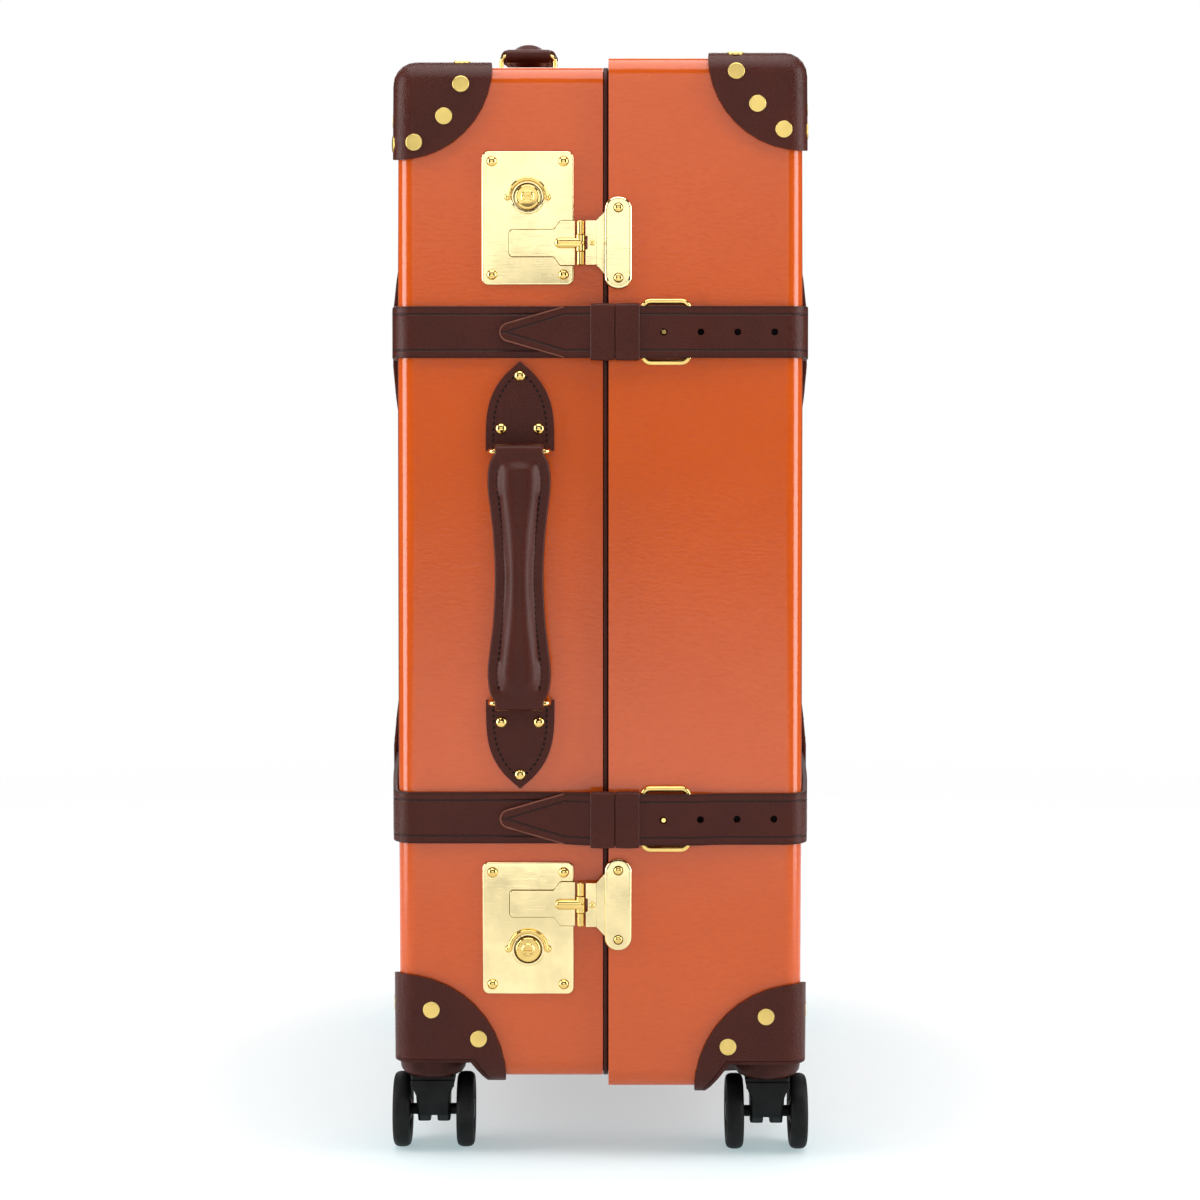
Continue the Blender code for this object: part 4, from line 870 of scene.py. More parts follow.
def disc(work, place, diameter, height):
    """Flat rivet head with a softened rim."""
    radius = diameter / 2
    inwards, down = DISC_SHOULDER
    profile = (
        (radius * DISC_FLAT, height),
        (radius - 2 * DISC_EDGE, height),
        (radius - DISC_EDGE * inwards, height - DISC_EDGE * down),
        (radius, height - DISC_EDGE),
        (radius, -DISC_SINK),
    )
    turned(work, profile, place)


def along(path, pitch):
    """Points at an even pitch along a path of points."""
    spots = [path[0].copy()]
    need = pitch
    for start, end in zip(path, path[1:]):
        span = (end - start).length
        done = 0.0
        while span - done >= need:
            done += need
            spots.append(start.lerp(end, done / span))
            need = pitch
        need -= span - done
    return spots


def sew(work, path, out):
    """Row of stitches along a path that lies on leather; out points away from the leather."""
    radius = sizes().thread / 2
    spots = along(path, sizes().stitch_pitch)
    for start, end in zip(spots, spots[1:]):
        run = (end - start) * STITCH_SHARE
        side = run.cross(out).normalized()
        rings = []
        for share, wide, lift in STITCH_SHAPE:
            middle = start + run * share + out * radius * lift
            pairs = circle(radius * wide, THREAD_SIDES)
            rings.append([middle + side * a + out * b * STITCH_FLATNESS for a, b in pairs])
        sweep(work, rings)


def even_shading(piece):
    """Let the large faces of a piece set its shading, so that they look flat."""
    even = piece.modifiers.new("Even shading", "WEIGHTED_NORMAL")
    even.weight = FLAT_WEIGHT
    even.keep_sharp = True


def round_edges(piece, width):
    """Soften the sharp edges of a piece."""
    bevel = piece.modifiers.new("Soft edges", "BEVEL")
    bevel.width = width
    bevel.segments = 2
    bevel.limit_method = "ANGLE"
    bevel.angle_limit = BEVEL_ANGLE
    bevel.miter_outer = "MITER_ARC"
    even_shading(piece)


def new_mesh(name, work):
    """Mesh of a work mesh, with its faces turned outwards."""
    bmesh.ops.recalc_face_normals(work, faces=work.faces)
    mesh = bpy.data.meshes.new(name)
    work.to_mesh(mesh)
    work.free()
    return mesh


def new_object(name, data):
    """Object of a mesh, light or camera, set in the scene."""
    made = bpy.data.objects.new(name, data)
    bpy.context.scene.collection.objects.link(made)
    return made


def finish_mesh(name, mesh, finish, body, stands_for=None, soften=None):
    """Piece of a mesh with its finish, set on a body, in place of a solid where one is named."""
    mesh.shade_smooth()
    mesh.set_sharp_from_angle(angle=math.pi if soften else SHARP_ANGLE)
    mesh.materials.clear()
    mesh.materials.append(FINISHES[finish])
    piece = new_object(name, mesh)
    if soften:
        round_edges(piece, soften)
    else:
        even_shading(piece)
    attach(piece, body)
    if stands_for:
        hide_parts(stands_for)
    return piece


def finish_piece(name, work, *rest):
    """Make a piece of a work mesh."""
    return finish_mesh(name, new_mesh(name, work), *rest)


# Case halves


class Half:
    """Outer form of a case half, read from its solid."""

    def __init__(self, name, side):
        low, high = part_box(f"{name}_shell")
        self.name = name
        self.side = side
        self.middle = (low + high) / 2
        self.half_width = (high.y - low.y) / 2
        self.half_height = (high.z - low.z) / 2
        self.front = self.middle.y - self.half_width
        self.rim = high.x if side < 0 else low.x
        self.face = max(abs(low.x), abs(high.x)) - CROWN

    def bulge(self, y, z):
        """Height of the crowned face above its edge plane."""
        across = min(abs(y - self.middle.y) / self.half_width, 1.0)
        upright = min(abs(z - self.middle.z) / self.half_height, 1.0)
        return CROWN * (1 - across**CROWN_POWER_ACROSS) * (1 - upright**CROWN_POWER_UPRIGHT)

    def on_face(self, y, z, offset):
        """Point of the big face pushed out by an offset."""
        return Vector((self.side * (self.face + offset + self.bulge(y, z)), y, z))

    def outline(self, grow):
        """Points (y, z) of the side walls' outline, grown all round."""
        pairs = rounded(
            self.half_width + grow,
            self.half_height + grow,
            CORNER_RADIUS + grow,
            SKIN_CORNER_STEPS,
            SKIN_RUNS,
        )
        return [(self.middle.y + a, self.middle.z + b) for a, b in pairs]

    def rings(self, offset):
        """Rings of the half's surface from its rim to near the middle of its big face."""
        edge = EDGE_RADIUS + offset
        made = [[Vector((self.rim, y, z)) for y, z in self.outline(offset)]]
        for cosine, sine in quarter(SKIN_EDGE_STEPS):
            level = offset - edge + edge * sine
            outline = self.outline(offset - edge * (1 - cosine))
            made.append([self.on_face(y, z, level) for y, z in outline])
        last = made[-1]
        for i in range(1, SKIN_FACE_RINGS):
            share = 1 - i / SKIN_FACE_RINGS
            inner = [self.middle.lerp(point, share) for point in last]
            made.append([self.on_face(point.y, point.z, offset) for point in inner])
        return made

    def tray(self, outer, inner):
        """Work mesh of an open tray between two offsets of the surface."""
        work = bmesh.new()
        rims = []
        for offset in (outer, inner):
            rows = sweep(work, self.rings(offset), caps=False)
            tip = work.verts.new(self.on_face(self.middle.y, self.middle.z, offset))
            last = rows[-1]
            for start, end in zip(last, last[1:] + last[:1]):
                work.faces.new((start, end, tip))
            rims.append(rows[0])
        bridge(work, *rims)
        return work


HALVES = {"base": Half("base", -1), "lid": Half("lid", 1)}
CASTERS = tuple(product(HALVES.values(), ENDS))


def well_block(half, end_name):
    """Block of the open recess round a caster, from its moulded cup."""
    work = bmesh.new()
    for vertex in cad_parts[f"{half.name}_wheel_cup_{end_name}"].data.vertices:
        for out, aside, down in product((0.0, WELL_PUSH), repeat=3):
            push = Vector((half.side * out, ENDS[end_name] * aside, -down))
            work.verts.new(vertex.co + push)
    bmesh.ops.remove_doubles(work, verts=work.verts, dist=WELD)
    hull = bmesh.ops.convex_hull(work, input=work.verts)
    inside = [item for item in hull["geom_interior"] if isinstance(item, bmesh.types.BMVert)]
    bmesh.ops.delete(work, geom=inside, context="VERTS")
    return work


def without_wells(half, work):
    """Mesh of a tray with both caster recesses cut out."""
    tray = new_object("tray", new_mesh("tray", work))
    spent = [tray]
    for end_name in ENDS:
        block = new_object("well", new_mesh("well", well_block(half, end_name)))
        cutter = tray.modifiers.new("Well", "BOOLEAN")
        cutter.object = block
        cutter.solver = "EXACT"
        spent.append(block)
    graph = bpy.context.evaluated_depsgraph_get()
    mesh = bpy.data.meshes.new_from_object(tray.evaluated_get(graph))
    for item in spent:
        bpy.data.objects.remove(item, do_unlink=True)
    return mesh


def make_shells():
    """Finely curved fibreboard shells, and the cloth that lines them."""
    for name, half in HALVES.items():
        mesh = without_wells(half, half.tray(0.0, -WALL))
        finish_mesh(f"{name}_lacquered_shell", mesh, "fibreboard", name, f"{name}_shell")
        outer = -WALL - LINING_GAP
        mesh = without_wells(half, half.tray(outer, outer - LINING_THICKNESS))
        finish_mesh(f"{name}_lining", mesh, "lining", name)


# Solids that stay in view


def smoothing_tree():
    """Geometry nodes that weld a solid's facets and shade them smooth."""
    tree = bpy.data.node_groups.new("Weld and smooth", "GeometryNodeTree")
    for way in ("INPUT", "OUTPUT"):
        tree.interface.new_socket("Solid", in_out=way, socket_type="NodeSocketGeometry")
    solid = add(tree, "NodeGroupInput").outputs["Solid"]
    weld = add(tree, "GeometryNodeMergeByDistance", {"Geometry": solid, "Distance": WELD}).outputs[0]
    bare = add(tree, "GeometryNodeRemoveAttribute", {"Geometry": weld, "Name": "custom_normal"}).outputs[0]
    smooth = add(tree, "GeometryNodeSetShadeSmooth", {"Geometry": bare, "Shade Smooth": True}).outputs[0]
    add(tree, "NodeGroupOutput", {"Solid": smooth})
    return tree


def dress_solids():
    """Give every solid that stays its finish, smooth faces and soft edges."""
    tree = smoothing_tree()
    for name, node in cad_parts.items():
        if node.hide_render:
            continue
        found = [rule for rule in NODE_FINISHES if rule[0] in name]
        if not found:
            raise RuntimeError(f"No finish is given for {name}")
        _, finish, width = found[0]
        for holder in node.material_slots:
            holder.material = FINISHES[finish]
        node.modifiers.new("Weld and smooth", "NODES").node_group = tree
        flat = node.modifiers.new("Flat faces", "DECIMATE")
        flat.decimate_type = "DISSOLVE"
        flat.angle_limit = FLAT_ANGLE
        round_edges(node, width)


# Rivets and keeper seams


def corner_discs(node, tip, inward, spots, faces):
    """Work mesh of flat rivets on the faces of a corner, each face given by its out axis and two others."""
    work = bmesh.new()
    for (out_axis, *axes), spot in product(faces, spots):
        origin = tip.copy()
        for axis, step in zip(axes, spot):
            origin[axis] += inward[axis] * step * MM
        origin[out_axis] -= inward[out_axis] * DISC_RAY
        ray = Vector((0, 0, 0))
        ray[out_axis] = inward[out_axis]
        rise = FACE_DISC_RISE if out_axis == 0 else DISC_RISE
        disc(work, facing(*touch(node, origin, ray)), sizes().disc_rivet, rise)
    return work


def make_disc_rivets():
    """Flat brass rivets on the leather corners."""
    for (half_name, level), spots in DISC_SPOTS.items():
        half = HALVES[half_name]
        faces = [(1, 0, 2), (0, 1, 2)]
        if level == "top":
            faces.append((2, 0, 1))
        for end_name, end in ENDS.items():
            node = f"{half_name}_{level}_corner_{end_name}"
            inward = Vector((-half.side, -end, -1 if level == "top" else 1))
            tip = half.middle - Vector((0, inward.y * half.half_width, inward.z * half.half_height))
            tip.x = half.side * half.face
            work = corner_discs(node, tip, inward, spots, faces)
            finish_piece(f"{node}_discs", work, "satin", half_name)


def domes_on(node, starts, way, diameter, rise=DOME_RISE):
    """Work mesh of domed heads where rays from the starts meet a solid."""
    work = bmesh.new()
    for start in starts:
        dome(work, facing(*touch(node, start, way)), diameter, rise)
    return work


def make_plate_rivets():
    """Domed rivets of the lock plates, and screws of the hinges."""
    inset = PLATE_RIVET_INSET
    for level in LEVELS:
        node = f"{level}_lock_plate"
        low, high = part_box(node)
        spots = product((low.x + inset, high.x - inset), (low.z + inset, high.z - inset))
        starts = [Vector((x, low.y - inset, z)) for x, z in spots]
        work = domes_on(node, starts, -FRONT, sizes().plate_rivet)
        finish_piece(f"{node}_rivets", work, "gilt", "base")

        for half_name in HALVES:
            node = f"{level}_hinge_{half_name}_leaf"
            low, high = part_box(node)
            x = low.x + SCREW_INSET if half_name == "base" else high.x - SCREW_INSET
            heights = [low.z + (high.z - low.z) * share for share in SCREW_SHARES]
            starts = [Vector((x, high.y + inset, z)) for z in heights]
            work = domes_on(node, starts, FRONT, SCREW_SIZE, SCREW_RISE)
            finish_piece(f"{node}_screws", work, "brass", half_name)


def make_keeper_seams():
    """Rows of sewing across both ends of each keeper."""
    for half, level in product(HALVES.values(), LEVELS):
        node = f"{level}_keeper_{half.name}"
        middle = centre_of(node)
        out = X_AXIS * half.side
        work = bmesh.new()
        for row in KEEPER_ROWS:
            path = []
            for i in range(KEEPER_ROW_STEPS + 1):
                y = middle.y + KEEPER_ROW_HALF * (2 * i / KEEPER_ROW_STEPS - 1)
                start = Vector((half.side * KEEPER_RAY, y, middle.z + row))
                path.append(touch(node, start, -out)[0])
            sew(work, path, out)
        finish_piece(f"{node}_stitches", work, "thread", half.name)


# Carry handles


class Handle:
    """Directions and places of a carry handle."""

    def __init__(self, place, run, out, ends):
        self.place = place
        self.name = f"{place}_handle"
        self.run = run
        self.out = out
        self.ends = ends
        first, second = [centre_of(f"{self.name}_ring_{end}") for end in ends]
        self.reach = (second - first).length / 2
        self.foot = (first + second) / 2 - out * (RING_FOOT + RING_STAND / 2)

    def at(self, across, run, out):
        """Point from across, along and out of the wall that carries the handle."""
        return self.foot + X_AXIS * across + self.run * run + self.out * out

    def past_ring(self, end, across, run, out):
        """Point from across, past a ring towards its end, and out of the wall."""
        return self.at(across, end * (self.reach + run), out)

    def on_grip(self, across, run, face):
        """Point on the outer or inner face of the grip."""
        return self.at(across, run, RING_FOOT + RING_STAND + face * grip_height(run, across, self.reach))


HANDLES = (Handle("side", UP, FRONT, LEVELS), Handle("top", Y_AXIS, UP, {"rear": 1, "front": -1}))
HANDLE_ENDS = [(handle, *item) for handle in HANDLES for item in handle.ends.items()]


def patch_edge():
    """One side of a patch's outline from its straight end to its point."""
    edge = []
    for _, share in quarter(PATCH_STEPS):
        half = max(PATCH_HALF * (1 - share**PATCH_POWER), PATCH_POINT)
        edge.append(Vector((half, share * PATCH_LENGTH)))
    return edge


def patch_seam(edge):
    """Path of the sewing inside a patch's side, ending before the middle line."""
    path = []
    for start, end in zip(edge, edge[1:]):
        step = (end - start).normalized()
        spot = (end + start) / 2 + Vector((-step.y, step.x)) * PATCH_SEAM
        if all(value > PATCH_SEAM * stop for value, stop in zip(spot, PATCH_SEAM_STOPS)):
            path.append(spot)
    return path


def make_patches():
    """Pointed leather patches with their folds, sewing and rivets."""
    edge = patch_edge()
    outline = edge + [Vector((-a, b)) for a, b in reversed(edge)]
    top = PATCH_SEAT + PATCH_THICKNESS
    for handle, end_name, end in HANDLE_ENDS:
        node = f"{handle.name}_patch_{end_name}"
        spot = partial(handle.past_ring, end)
        work = bmesh.new()
        prism(work, outline, (PATCH_SEAT, top), spot)
        finish_piece(f"{node}_leather", work, "leather", "base", node, PATCH_SOFT)

        work = bmesh.new()
        fold = soft_rod(FOLD_RADIUS, -FOLD_HALF, FOLD_HALF, FOLD_SOFT)
        turned(work, fold, facing(spot(0.0, 0.0, RING_FOOT), X_AXIS, handle.out))
        finish_piece(f"{node}_fold", work, "leather", "base")

        work = bmesh.new()
        for side in (-1, 1):
            sew(work, [spot(side * a, b, top) for a, b in patch_seam(edge)], handle.out)
        finish_piece(f"{node}_stitches", work, "thread", "base")

        work = bmesh.new()
        for across, run in PATCH_RIVETS:
            dome(work, facing(spot(across, run, top), handle.out), sizes().patch_rivet)
        finish_piece(f"{node}_rivets", work, "gilt", "base")


def make_rings():
    """Round wire rings of the carry handles."""
    outline = rounded(RING_HALF, RING_STAND / 2, RING_ROUND, ROUND_STEPS)
    for handle, end_name, end in HANDLE_ENDS:
        path = [handle.past_ring(end, a, 0.0, RING_FOOT + RING_STAND / 2 + b) for a, b in outline]
        work = bmesh.new()
        wire(work, path, sizes().ring_wire / 2, handle.run)
        node = f"{handle.name}_ring_{end_name}"
        finish_piece(f"{node}_wire", work, "gilt", f"{handle.place}_ring_{end_name}", node)


def eased(table, value):
    """Smooth curve through a table of pairs."""
    last = len(table) - 1
    k = 0
    while k < last - 1 and value > table[k + 1][0]:
        k += 1
    (start, first), (end, second) = table[k : k + 2]

    def slope(i):
        if i in (0, last):
            return 0.0
        return (table[i + 1][1] - table[i - 1][1]) / (table[i + 1][0] - table[i - 1][0])

    span = end - start
    t = min(max((value - start) / span, 0.0), 1.0)
    rise = slope(k) * span * (t**3 - 2 * t**2 + t) + slope(k + 1) * span * (t**3 - t**2)
    return first * (2 * t**3 - 3 * t**2 + 1) + second * (3 * t**2 - 2 * t**3) + rise


def smooth_step(low, high, value):
    """Ease from nought to one between two values."""
    t = min(max((value - low) / (high - low), 0.0), 1.0)
    return t * t * (3 - 2 * t)


def grip_half(run):
    """Half width of a grip along its length."""
    return eased(GRIP_WIDTHS, abs(run) / MM) * MM


def grip_height(run, across, reach):
    """Half thickness of a grip: flat flanges, a padded core, and a loop round each ring."""
    half = grip_half(run)
    rise = max(1 - (across / (half - GRIP_MARGIN)) ** 2, 0.0) ** GRIP_ROUND
    share = smooth_step(reach - GRIP_EASE[0], reach - GRIP_EASE[1], abs(run))
    full = (GRIP_FLANGE + GRIP_RISE * rise) * (1 - share) + GRIP_LOOP * share
    over = max(abs(across) - (half - GRIP_EDGE), 0.0) / GRIP_EDGE
    beyond = max(abs(run) - reach, 0.0) / GRIP_LOOP
    return full * math.sqrt(max(1 - over**2, 0.0)) * math.sqrt(max(1 - beyond**2, 0.0))


def grip_rings(handle):
    """Rings of a grip from end to end, closer together by its ends and edges."""
    turns = [math.cos(math.pi * i / GRIP_SIDE_STEPS) for i in range(GRIP_SIDE_STEPS + 1)]
    even = GRIP_SIDE_EVENNESS
    spread = [even * turn + (1 - even) * math.sin(math.pi / 2 * turn) for turn in turns]
    round_trip = [(share, 1) for share in spread] + [(share, -1) for share in spread[-2:0:-1]]
    rings = []
    for i in range(GRIP_STEPS + 1):
        share = math.sin((i / GRIP_STEPS * 2 - 1) * GRIP_CROWDING) / math.sin(GRIP_CROWDING)
        run = share * (handle.reach + GRIP_LOOP * GRIP_LOOP_END)
        half = grip_half(run)
        rings.append([handle.on_grip(part * half, run, face) for part, face in round_trip])
    return rings


def make_grips():
    """Padded leather grips with sewn edges."""
    for handle in HANDLES:
        node = f"{handle.name}_grip"
        body = f"{handle.place}_grip"
        work = bmesh.new()
        sweep(work, grip_rings(handle))
        grip = finish_piece(f"{node}_padded", work, "grip", body, node)

        work = bmesh.new()
        for side, face in product((-1, 1), repeat=2):
            path = []
            for i in range(GRIP_SEAM_STEPS + 1):
                run = (i / GRIP_SEAM_STEPS * 2 - 1) * (handle.reach - GRIP_SEAM_STOP)
                path.append(handle.on_grip(side * (grip_half(run) - GRIP_SEAM), run, face))
            sew(work, path, handle.out * face)
        finish_piece(f"{node}_stitches", work, "thread", body)


# Straps


def make_loops():
    """The two leather loops that hold each billet down."""
    for level in LEVELS:
        node = f"{level}_strap_loops"
        low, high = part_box(node)
        middle = (low + high) / 2
        half_y = (high.y - low.y) / 2 - LOOP_WALL
        half_z = (high.z - low.z) / 2 - LOOP_WALL
        bands = ((low.x, middle.x - LOOP_SPLIT / 2), (middle.x + LOOP_SPLIT / 2, high.x))
        for count, (start, end) in enumerate(bands, 1):
            profile = (
                (start, 0.0),
                (start, LOOP_WALL - LOOP_SOFT),
                (start + LOOP_SOFT, LOOP_WALL),
                ((start + end) / 2, LOOP_WALL + LOOP_CROWN),
                (end - LOOP_SOFT, LOOP_WALL),
                (end, LOOP_WALL - LOOP_SOFT),
                (end, 0.0),
            )
            rings = []
            for x, grow in profile:
                pairs = rounded(half_y + grow, half_z + grow, LOOP_ROUND + grow, LOOP_STEPS, LOOP_RUNS)
                rings.append([Vector((x, middle.y + a, middle.z + b)) for a, b in pairs])
            work = bmesh.new()
            sweep(work, rings, loop=True)
            finish_piece(f"{level}_strap_loop_{count}", work, "leather", "lid", node)


def make_billet_edges():
    """Polished cut edge round each billet's tongue, its lighter leather a painted highlight."""
    radius = BILLET_EDGE
    for level in LEVELS:
        node = f"{level}_strap_lid"
        low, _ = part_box(node)
        middle = centre_of(f"{level}_strap_base").z
        side = [(BILLET_FULL, BILLET_HALF - radius)]
        for cosine, sine in reversed(quarter(BILLET_STEPS + 1)[:-1]):
            side.append((low.x + radius + BILLET_NOSE * (1 - cosine), (BILLET_NOSE - radius) * sine))
        outline = side + [(x, -z) for x, z in reversed(side[:-1])]
        start = Vector((low.x + BILLET_NOSE, low.y - BILLET_NOSE, middle))
        y = touch(node, start, -FRONT)[0].y + radius * BILLET_EDGE_SINK
        work = bmesh.new()
        path = [Vector((x, y, middle + z)) for x, z in outline]
        wire(work, path, radius, Y_AXIS, loop=False, sides=EDGE_SIDES)
        finish_piece(f"{level}_billet_edge", work, "burnish", "lid")


def make_hole_shades():
    """Dark discs of painted shade inside the billets' holes."""
    profile = [(HOLE_SHADE_RADIUS, height) for height in HOLE_SHADE_LEVELS]
    for level in LEVELS:
        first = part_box(f"{level}_buckle")[0].x + PRONG_LENGTH
        middle = centre_of(f"{level}_strap_base").z
        work = bmesh.new()
        for i in range(1, HOLE_COUNT):
            spot = Vector((first + i * HOLE_PITCH, HALVES["lid"].front, middle))
            turned(work, profile, facing(spot, FRONT), sides=WIRE_SIDES)
        # The dark thread finish serves here as painted shade inside the holes
        finish_piece(f"{level}_hole_liners", work, "thread", "lid")


def make_buckles():
    """Round wire buckles, each with a prong through the first hole."""
    radius = sizes().buckle_wire / 2
    roll, roll_half = PRONG_ROLL
    for level in LEVELS:
        node = f"{level}_buckle"
        low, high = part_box(node)
        middle = (low + high) / 2
        middle.y = high.y - radius
        half_x = (high.x - low.x) / 2 - radius
        half_z = (high.z - low.z) / 2 - radius
        outline = rounded(half_x, half_z, BUCKLE_ROUND, ROUND_STEPS)
        work = bmesh.new()
        wire(work, [middle + Vector((a, 0.0, b)) for a, b in outline], radius, Y_AXIS)

        start = Vector((low.x + radius, middle.y, middle.z))
        bend = Vector((low.x + PRONG_LENGTH - PRONG_BEND, middle.y - PRONG_BEND, middle.z))
        prong = [start]
        prong += [bend + Vector((sine, cosine, 0.0)) * PRONG_BEND for cosine, sine in quarter(PRONG_STEPS)]
        prong.append(Vector((low.x + PRONG_LENGTH, low.y + PRONG_TIP, middle.z)))
        wire(work, prong, PRONG_RADIUS, UP, loop=False)
        turned(work, ((roll, -roll_half), (roll, roll_half)), facing(start, UP))
        finish_piece(f"{node}_wire", work, "gilt", "lid", node)


# Casters


def spoke(work, place):
    """Rib across a wheel's recess, narrower towards the tyre."""
    rings = []
    for radius, half, height in SPOKE_STATIONS:
        pairs = rounded(half * MM, height * MM, SPOKE_ROUND * MM, SPOKE_STEPS)
        rings.append([place @ Vector((radius * MM, a, b)) for a, b in pairs])
    sweep(work, rings)


def make_wheels():
    """Pairs of wheels with round tyres, spoked hubs and an axle."""
    tyre = in_mm(TYRE_SIDE[::-1] + tuple((radius, -height) for radius, height in TYRE_SIDE))
    hub = in_mm(HUB_SIDE + tuple((radius, -height) for radius, height in HUB_SIDE[::-1]))
    for half, end_name in CASTERS:
        node = f"{half.name}_wheel_pair_{end_name}"
        body = f"{half.name}_wheels_{end_name}"
        low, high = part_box(node)
        middle = (low + high) / 2
        grow = middle.z / (TYRE_SIDE[-1][0] * MM)
        offset = (high.x - low.x) / 2 - WHEEL_HALF * MM
        tyres = bmesh.new()
        hubs = bmesh.new()
        for side in (-1, 1):
            place = facing(middle + X_AXIS * side * offset, X_AXIS)
            turned(tyres, [(r * grow, h) for r, h in tyre], place, loop=True, sides=FINE_SIDES)
            turned(hubs, hub, place, sides=HUB_SIDES)
            for k in range(SPOKE_COUNT):
                spoke(hubs, place @ Matrix.Rotation(math.tau * k / SPOKE_COUNT, 4, "Z"))
        axle = [(AXLE_RADIUS * MM, end) for end in (-offset, offset)]
        turned(hubs, axle, facing(middle, X_AXIS))
        finish_piece(f"{node}_tyres", tyres, "rubber", body, node)
        finish_piece(f"{node}_hubs", hubs, "plastic", body, node)


def stack(work, axis, levels, radius, steps, aside=0.0):
    """Block through levels of height, half width, front and back, in millimetres from an axis."""
    rings = []
    for height, half, front, back in levels:
        middle = axis + Vector((aside, (front + back) / 2, height)) * MM
        pairs = rounded(half * MM, (back - front) / 2 * MM, radius * MM, steps)
        rings.append([middle + Vector((a, b, 0.0)) for a, b in pairs])
    sweep(work, rings)


def make_forks():
    """Bowl-shaped turrets with their kingpins, and forks with two feet and a framed front."""
    for half, end_name in CASTERS:
        node = f"{half.name}_caster_fork_{end_name}"
        body = f"{half.name}_caster_{end_name}"
        axis = centre_of(node)
        axis.z = 0.0
        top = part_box(node)[1].z
        work = bmesh.new()
        profile = [(radius, top - drop) for radius, drop in in_mm(TURRET_PROFILE)]
        turned(work, profile, Matrix.Translation(axis), sides=FINE_SIDES)
        finish_piece(f"{node}_turret", work, "cup", body, node)

        work = bmesh.new()
        stack(work, axis, FORK_BODY, FORK_ROUND, FORK_STEPS)
        for side in (-1, 1):
            stack(work, axis, FORK_FOOT, FORK_ROUND, FORK_STEPS, side * (FORK_NOTCH + FORK_FOOT_HALF))
        stack(work, axis, FORK_FRONT, FORK_FRONT_ROUND, FORK_FRONT_STEPS)
        finish_piece(f"{node}_body", work, "plastic", body, node, FORK_SOFT)


# Locks


class Lock:
    """Places of a lock's pieces, read from its solids."""

    def __init__(self, level):
        self.level = level
        leaf = f"{level}_hasp_leaf"
        leaf_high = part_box(leaf)[1]
        strike_low, strike_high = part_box(f"{level}_strike_plate")
        key = f"{level}_key_cylinder"
        self.axis = Vector((leaf_high.x - HASP_BARREL, leaf_high.y - HASP_BARREL, centre_of(leaf).z))
        self.plate_front = leaf_high.y + LOCK_AIR
        self.key = centre_of(key)
        self.key.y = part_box(key)[0].y
        self.strike_seat = HALVES["lid"].front - LOCK_AIR
        self.strike_x = strike_high.x - STRIKE_HALF_WIDTH
        self.strike_half = (strike_high.z - strike_low.z) / 2

    def at(self, run, up, out):
        """Point from the hasp's axis: towards the lid, up, and out of the front."""
        return self.axis + Vector((run, -out, up))


def leaf_outline(grow, root):
    """Outline of a hasp leaf from its axis, grown all round: a tongue that flares to its barrel."""
    tongue, wide = LEAF_HALVES
    start, end = LEAF_NECK
    side = [(-root, wide + grow)]
    for i in range(LEAF_STEPS + 1):
        run = start + (end - start) * i / LEAF_STEPS
        side.append((-run, wide + (tongue - wide) * smooth_step(start, end, run) + grow))
    corner = LEAF_CORNER + grow
    for cosine, sine in quarter(LEAF_STEPS):
        run = LEAF_REACH - LEAF_CORNER + corner * sine
        side.append((-run, tongue - LEAF_CORNER + corner * cosine))
    return side + [(x, -z) for x, z in reversed(side)]


def make_hasp(lock):
    """Hasp leaf with its knuckle and bar, and a thin dark brass band round it as painted shade in the gap.
    """
    name = f"{lock.level}_hasp"
    node = f"{name}_leaf"
    work = bmesh.new()
    prism(work, leaf_outline(0.0, LEAF_ROOT), (-HASP_BARREL, LEAF_THICKNESS - HASP_BARREL), lock.at)
    finish_piece(f"{name}_plate", work, "brass", name, node, LEAF_SOFT)

    work = bmesh.new()
    start, end = BAR_REACH
    place = facing(lock.at((start + end) / 2, 0.0, 0.0), FRONT)
    low = LEAF_THICKNESS / 2 - HASP_BARREL
    soft_slab(work, (end - start) / 2, BAR_HALF, BAR_HALF, place, low, BAR_FRONT, BAR_SOFT)
    half = BARREL_SPAN[0] - LOCK_AIR
    turned(work, ((HASP_BARREL, -half), (HASP_BARREL, half)), facing(lock.axis, UP))
    finish_piece(f"{name}_bar", work, "gilt", name, node)

    # Painted shade: a thin dark band round the leaf, where the gap's shade falls on the plate
    work = bmesh.new()
    front = lock.axis.y - lock.plate_front
    top = front + LEAF_SHADE_RISE
    outer = leaf_outline(LEAF_SHADE_GROW, LEAF_SHADE_ROOTS[0])
    inner = leaf_outline(-LEAF_SHADE_GROW, LEAF_SHADE_ROOTS[1])
    loops = ((outer, front), (outer, top), (inner, top), (inner, front))
    sweep(work, [[lock.at(x, z, level) for x, z in outline] for outline, level in loops], loop=True)
    finish_piece(f"{name}_seam", work, "tarnish", "base")


def make_strike_arm(lock):
    """Arm from the barrels to the strike plate, bent down and flared, with a window for the hasp."""
    wide = LEAF_HALVES[1]
    notch, clear = ARM_WINDOW
    side = [(ARM_BEND, wide), (ARM_START, wide), (ARM_START, clear), (notch, clear)]
    outline = side + [(x, -z) for x, z in reversed(side)]
    work = bmesh.new()
    prism(work, outline, (ARM_BACK, HASP_BARREL), lock.at)
    seat = lock.axis.y - lock.strike_seat
    rings = []
    for run, half, inner, outer in (
        (ARM_BEND, wide, ARM_BACK, HASP_BARREL),
        (ARM_END, ARM_FLARE, seat, seat + ARM_FOOT),
    ):
        corners = ((half, outer), (-half, outer), (-half, inner), (half, inner))
        rings.append([lock.at(run, *corner) for corner in corners])
    sweep(work, rings)
    return work


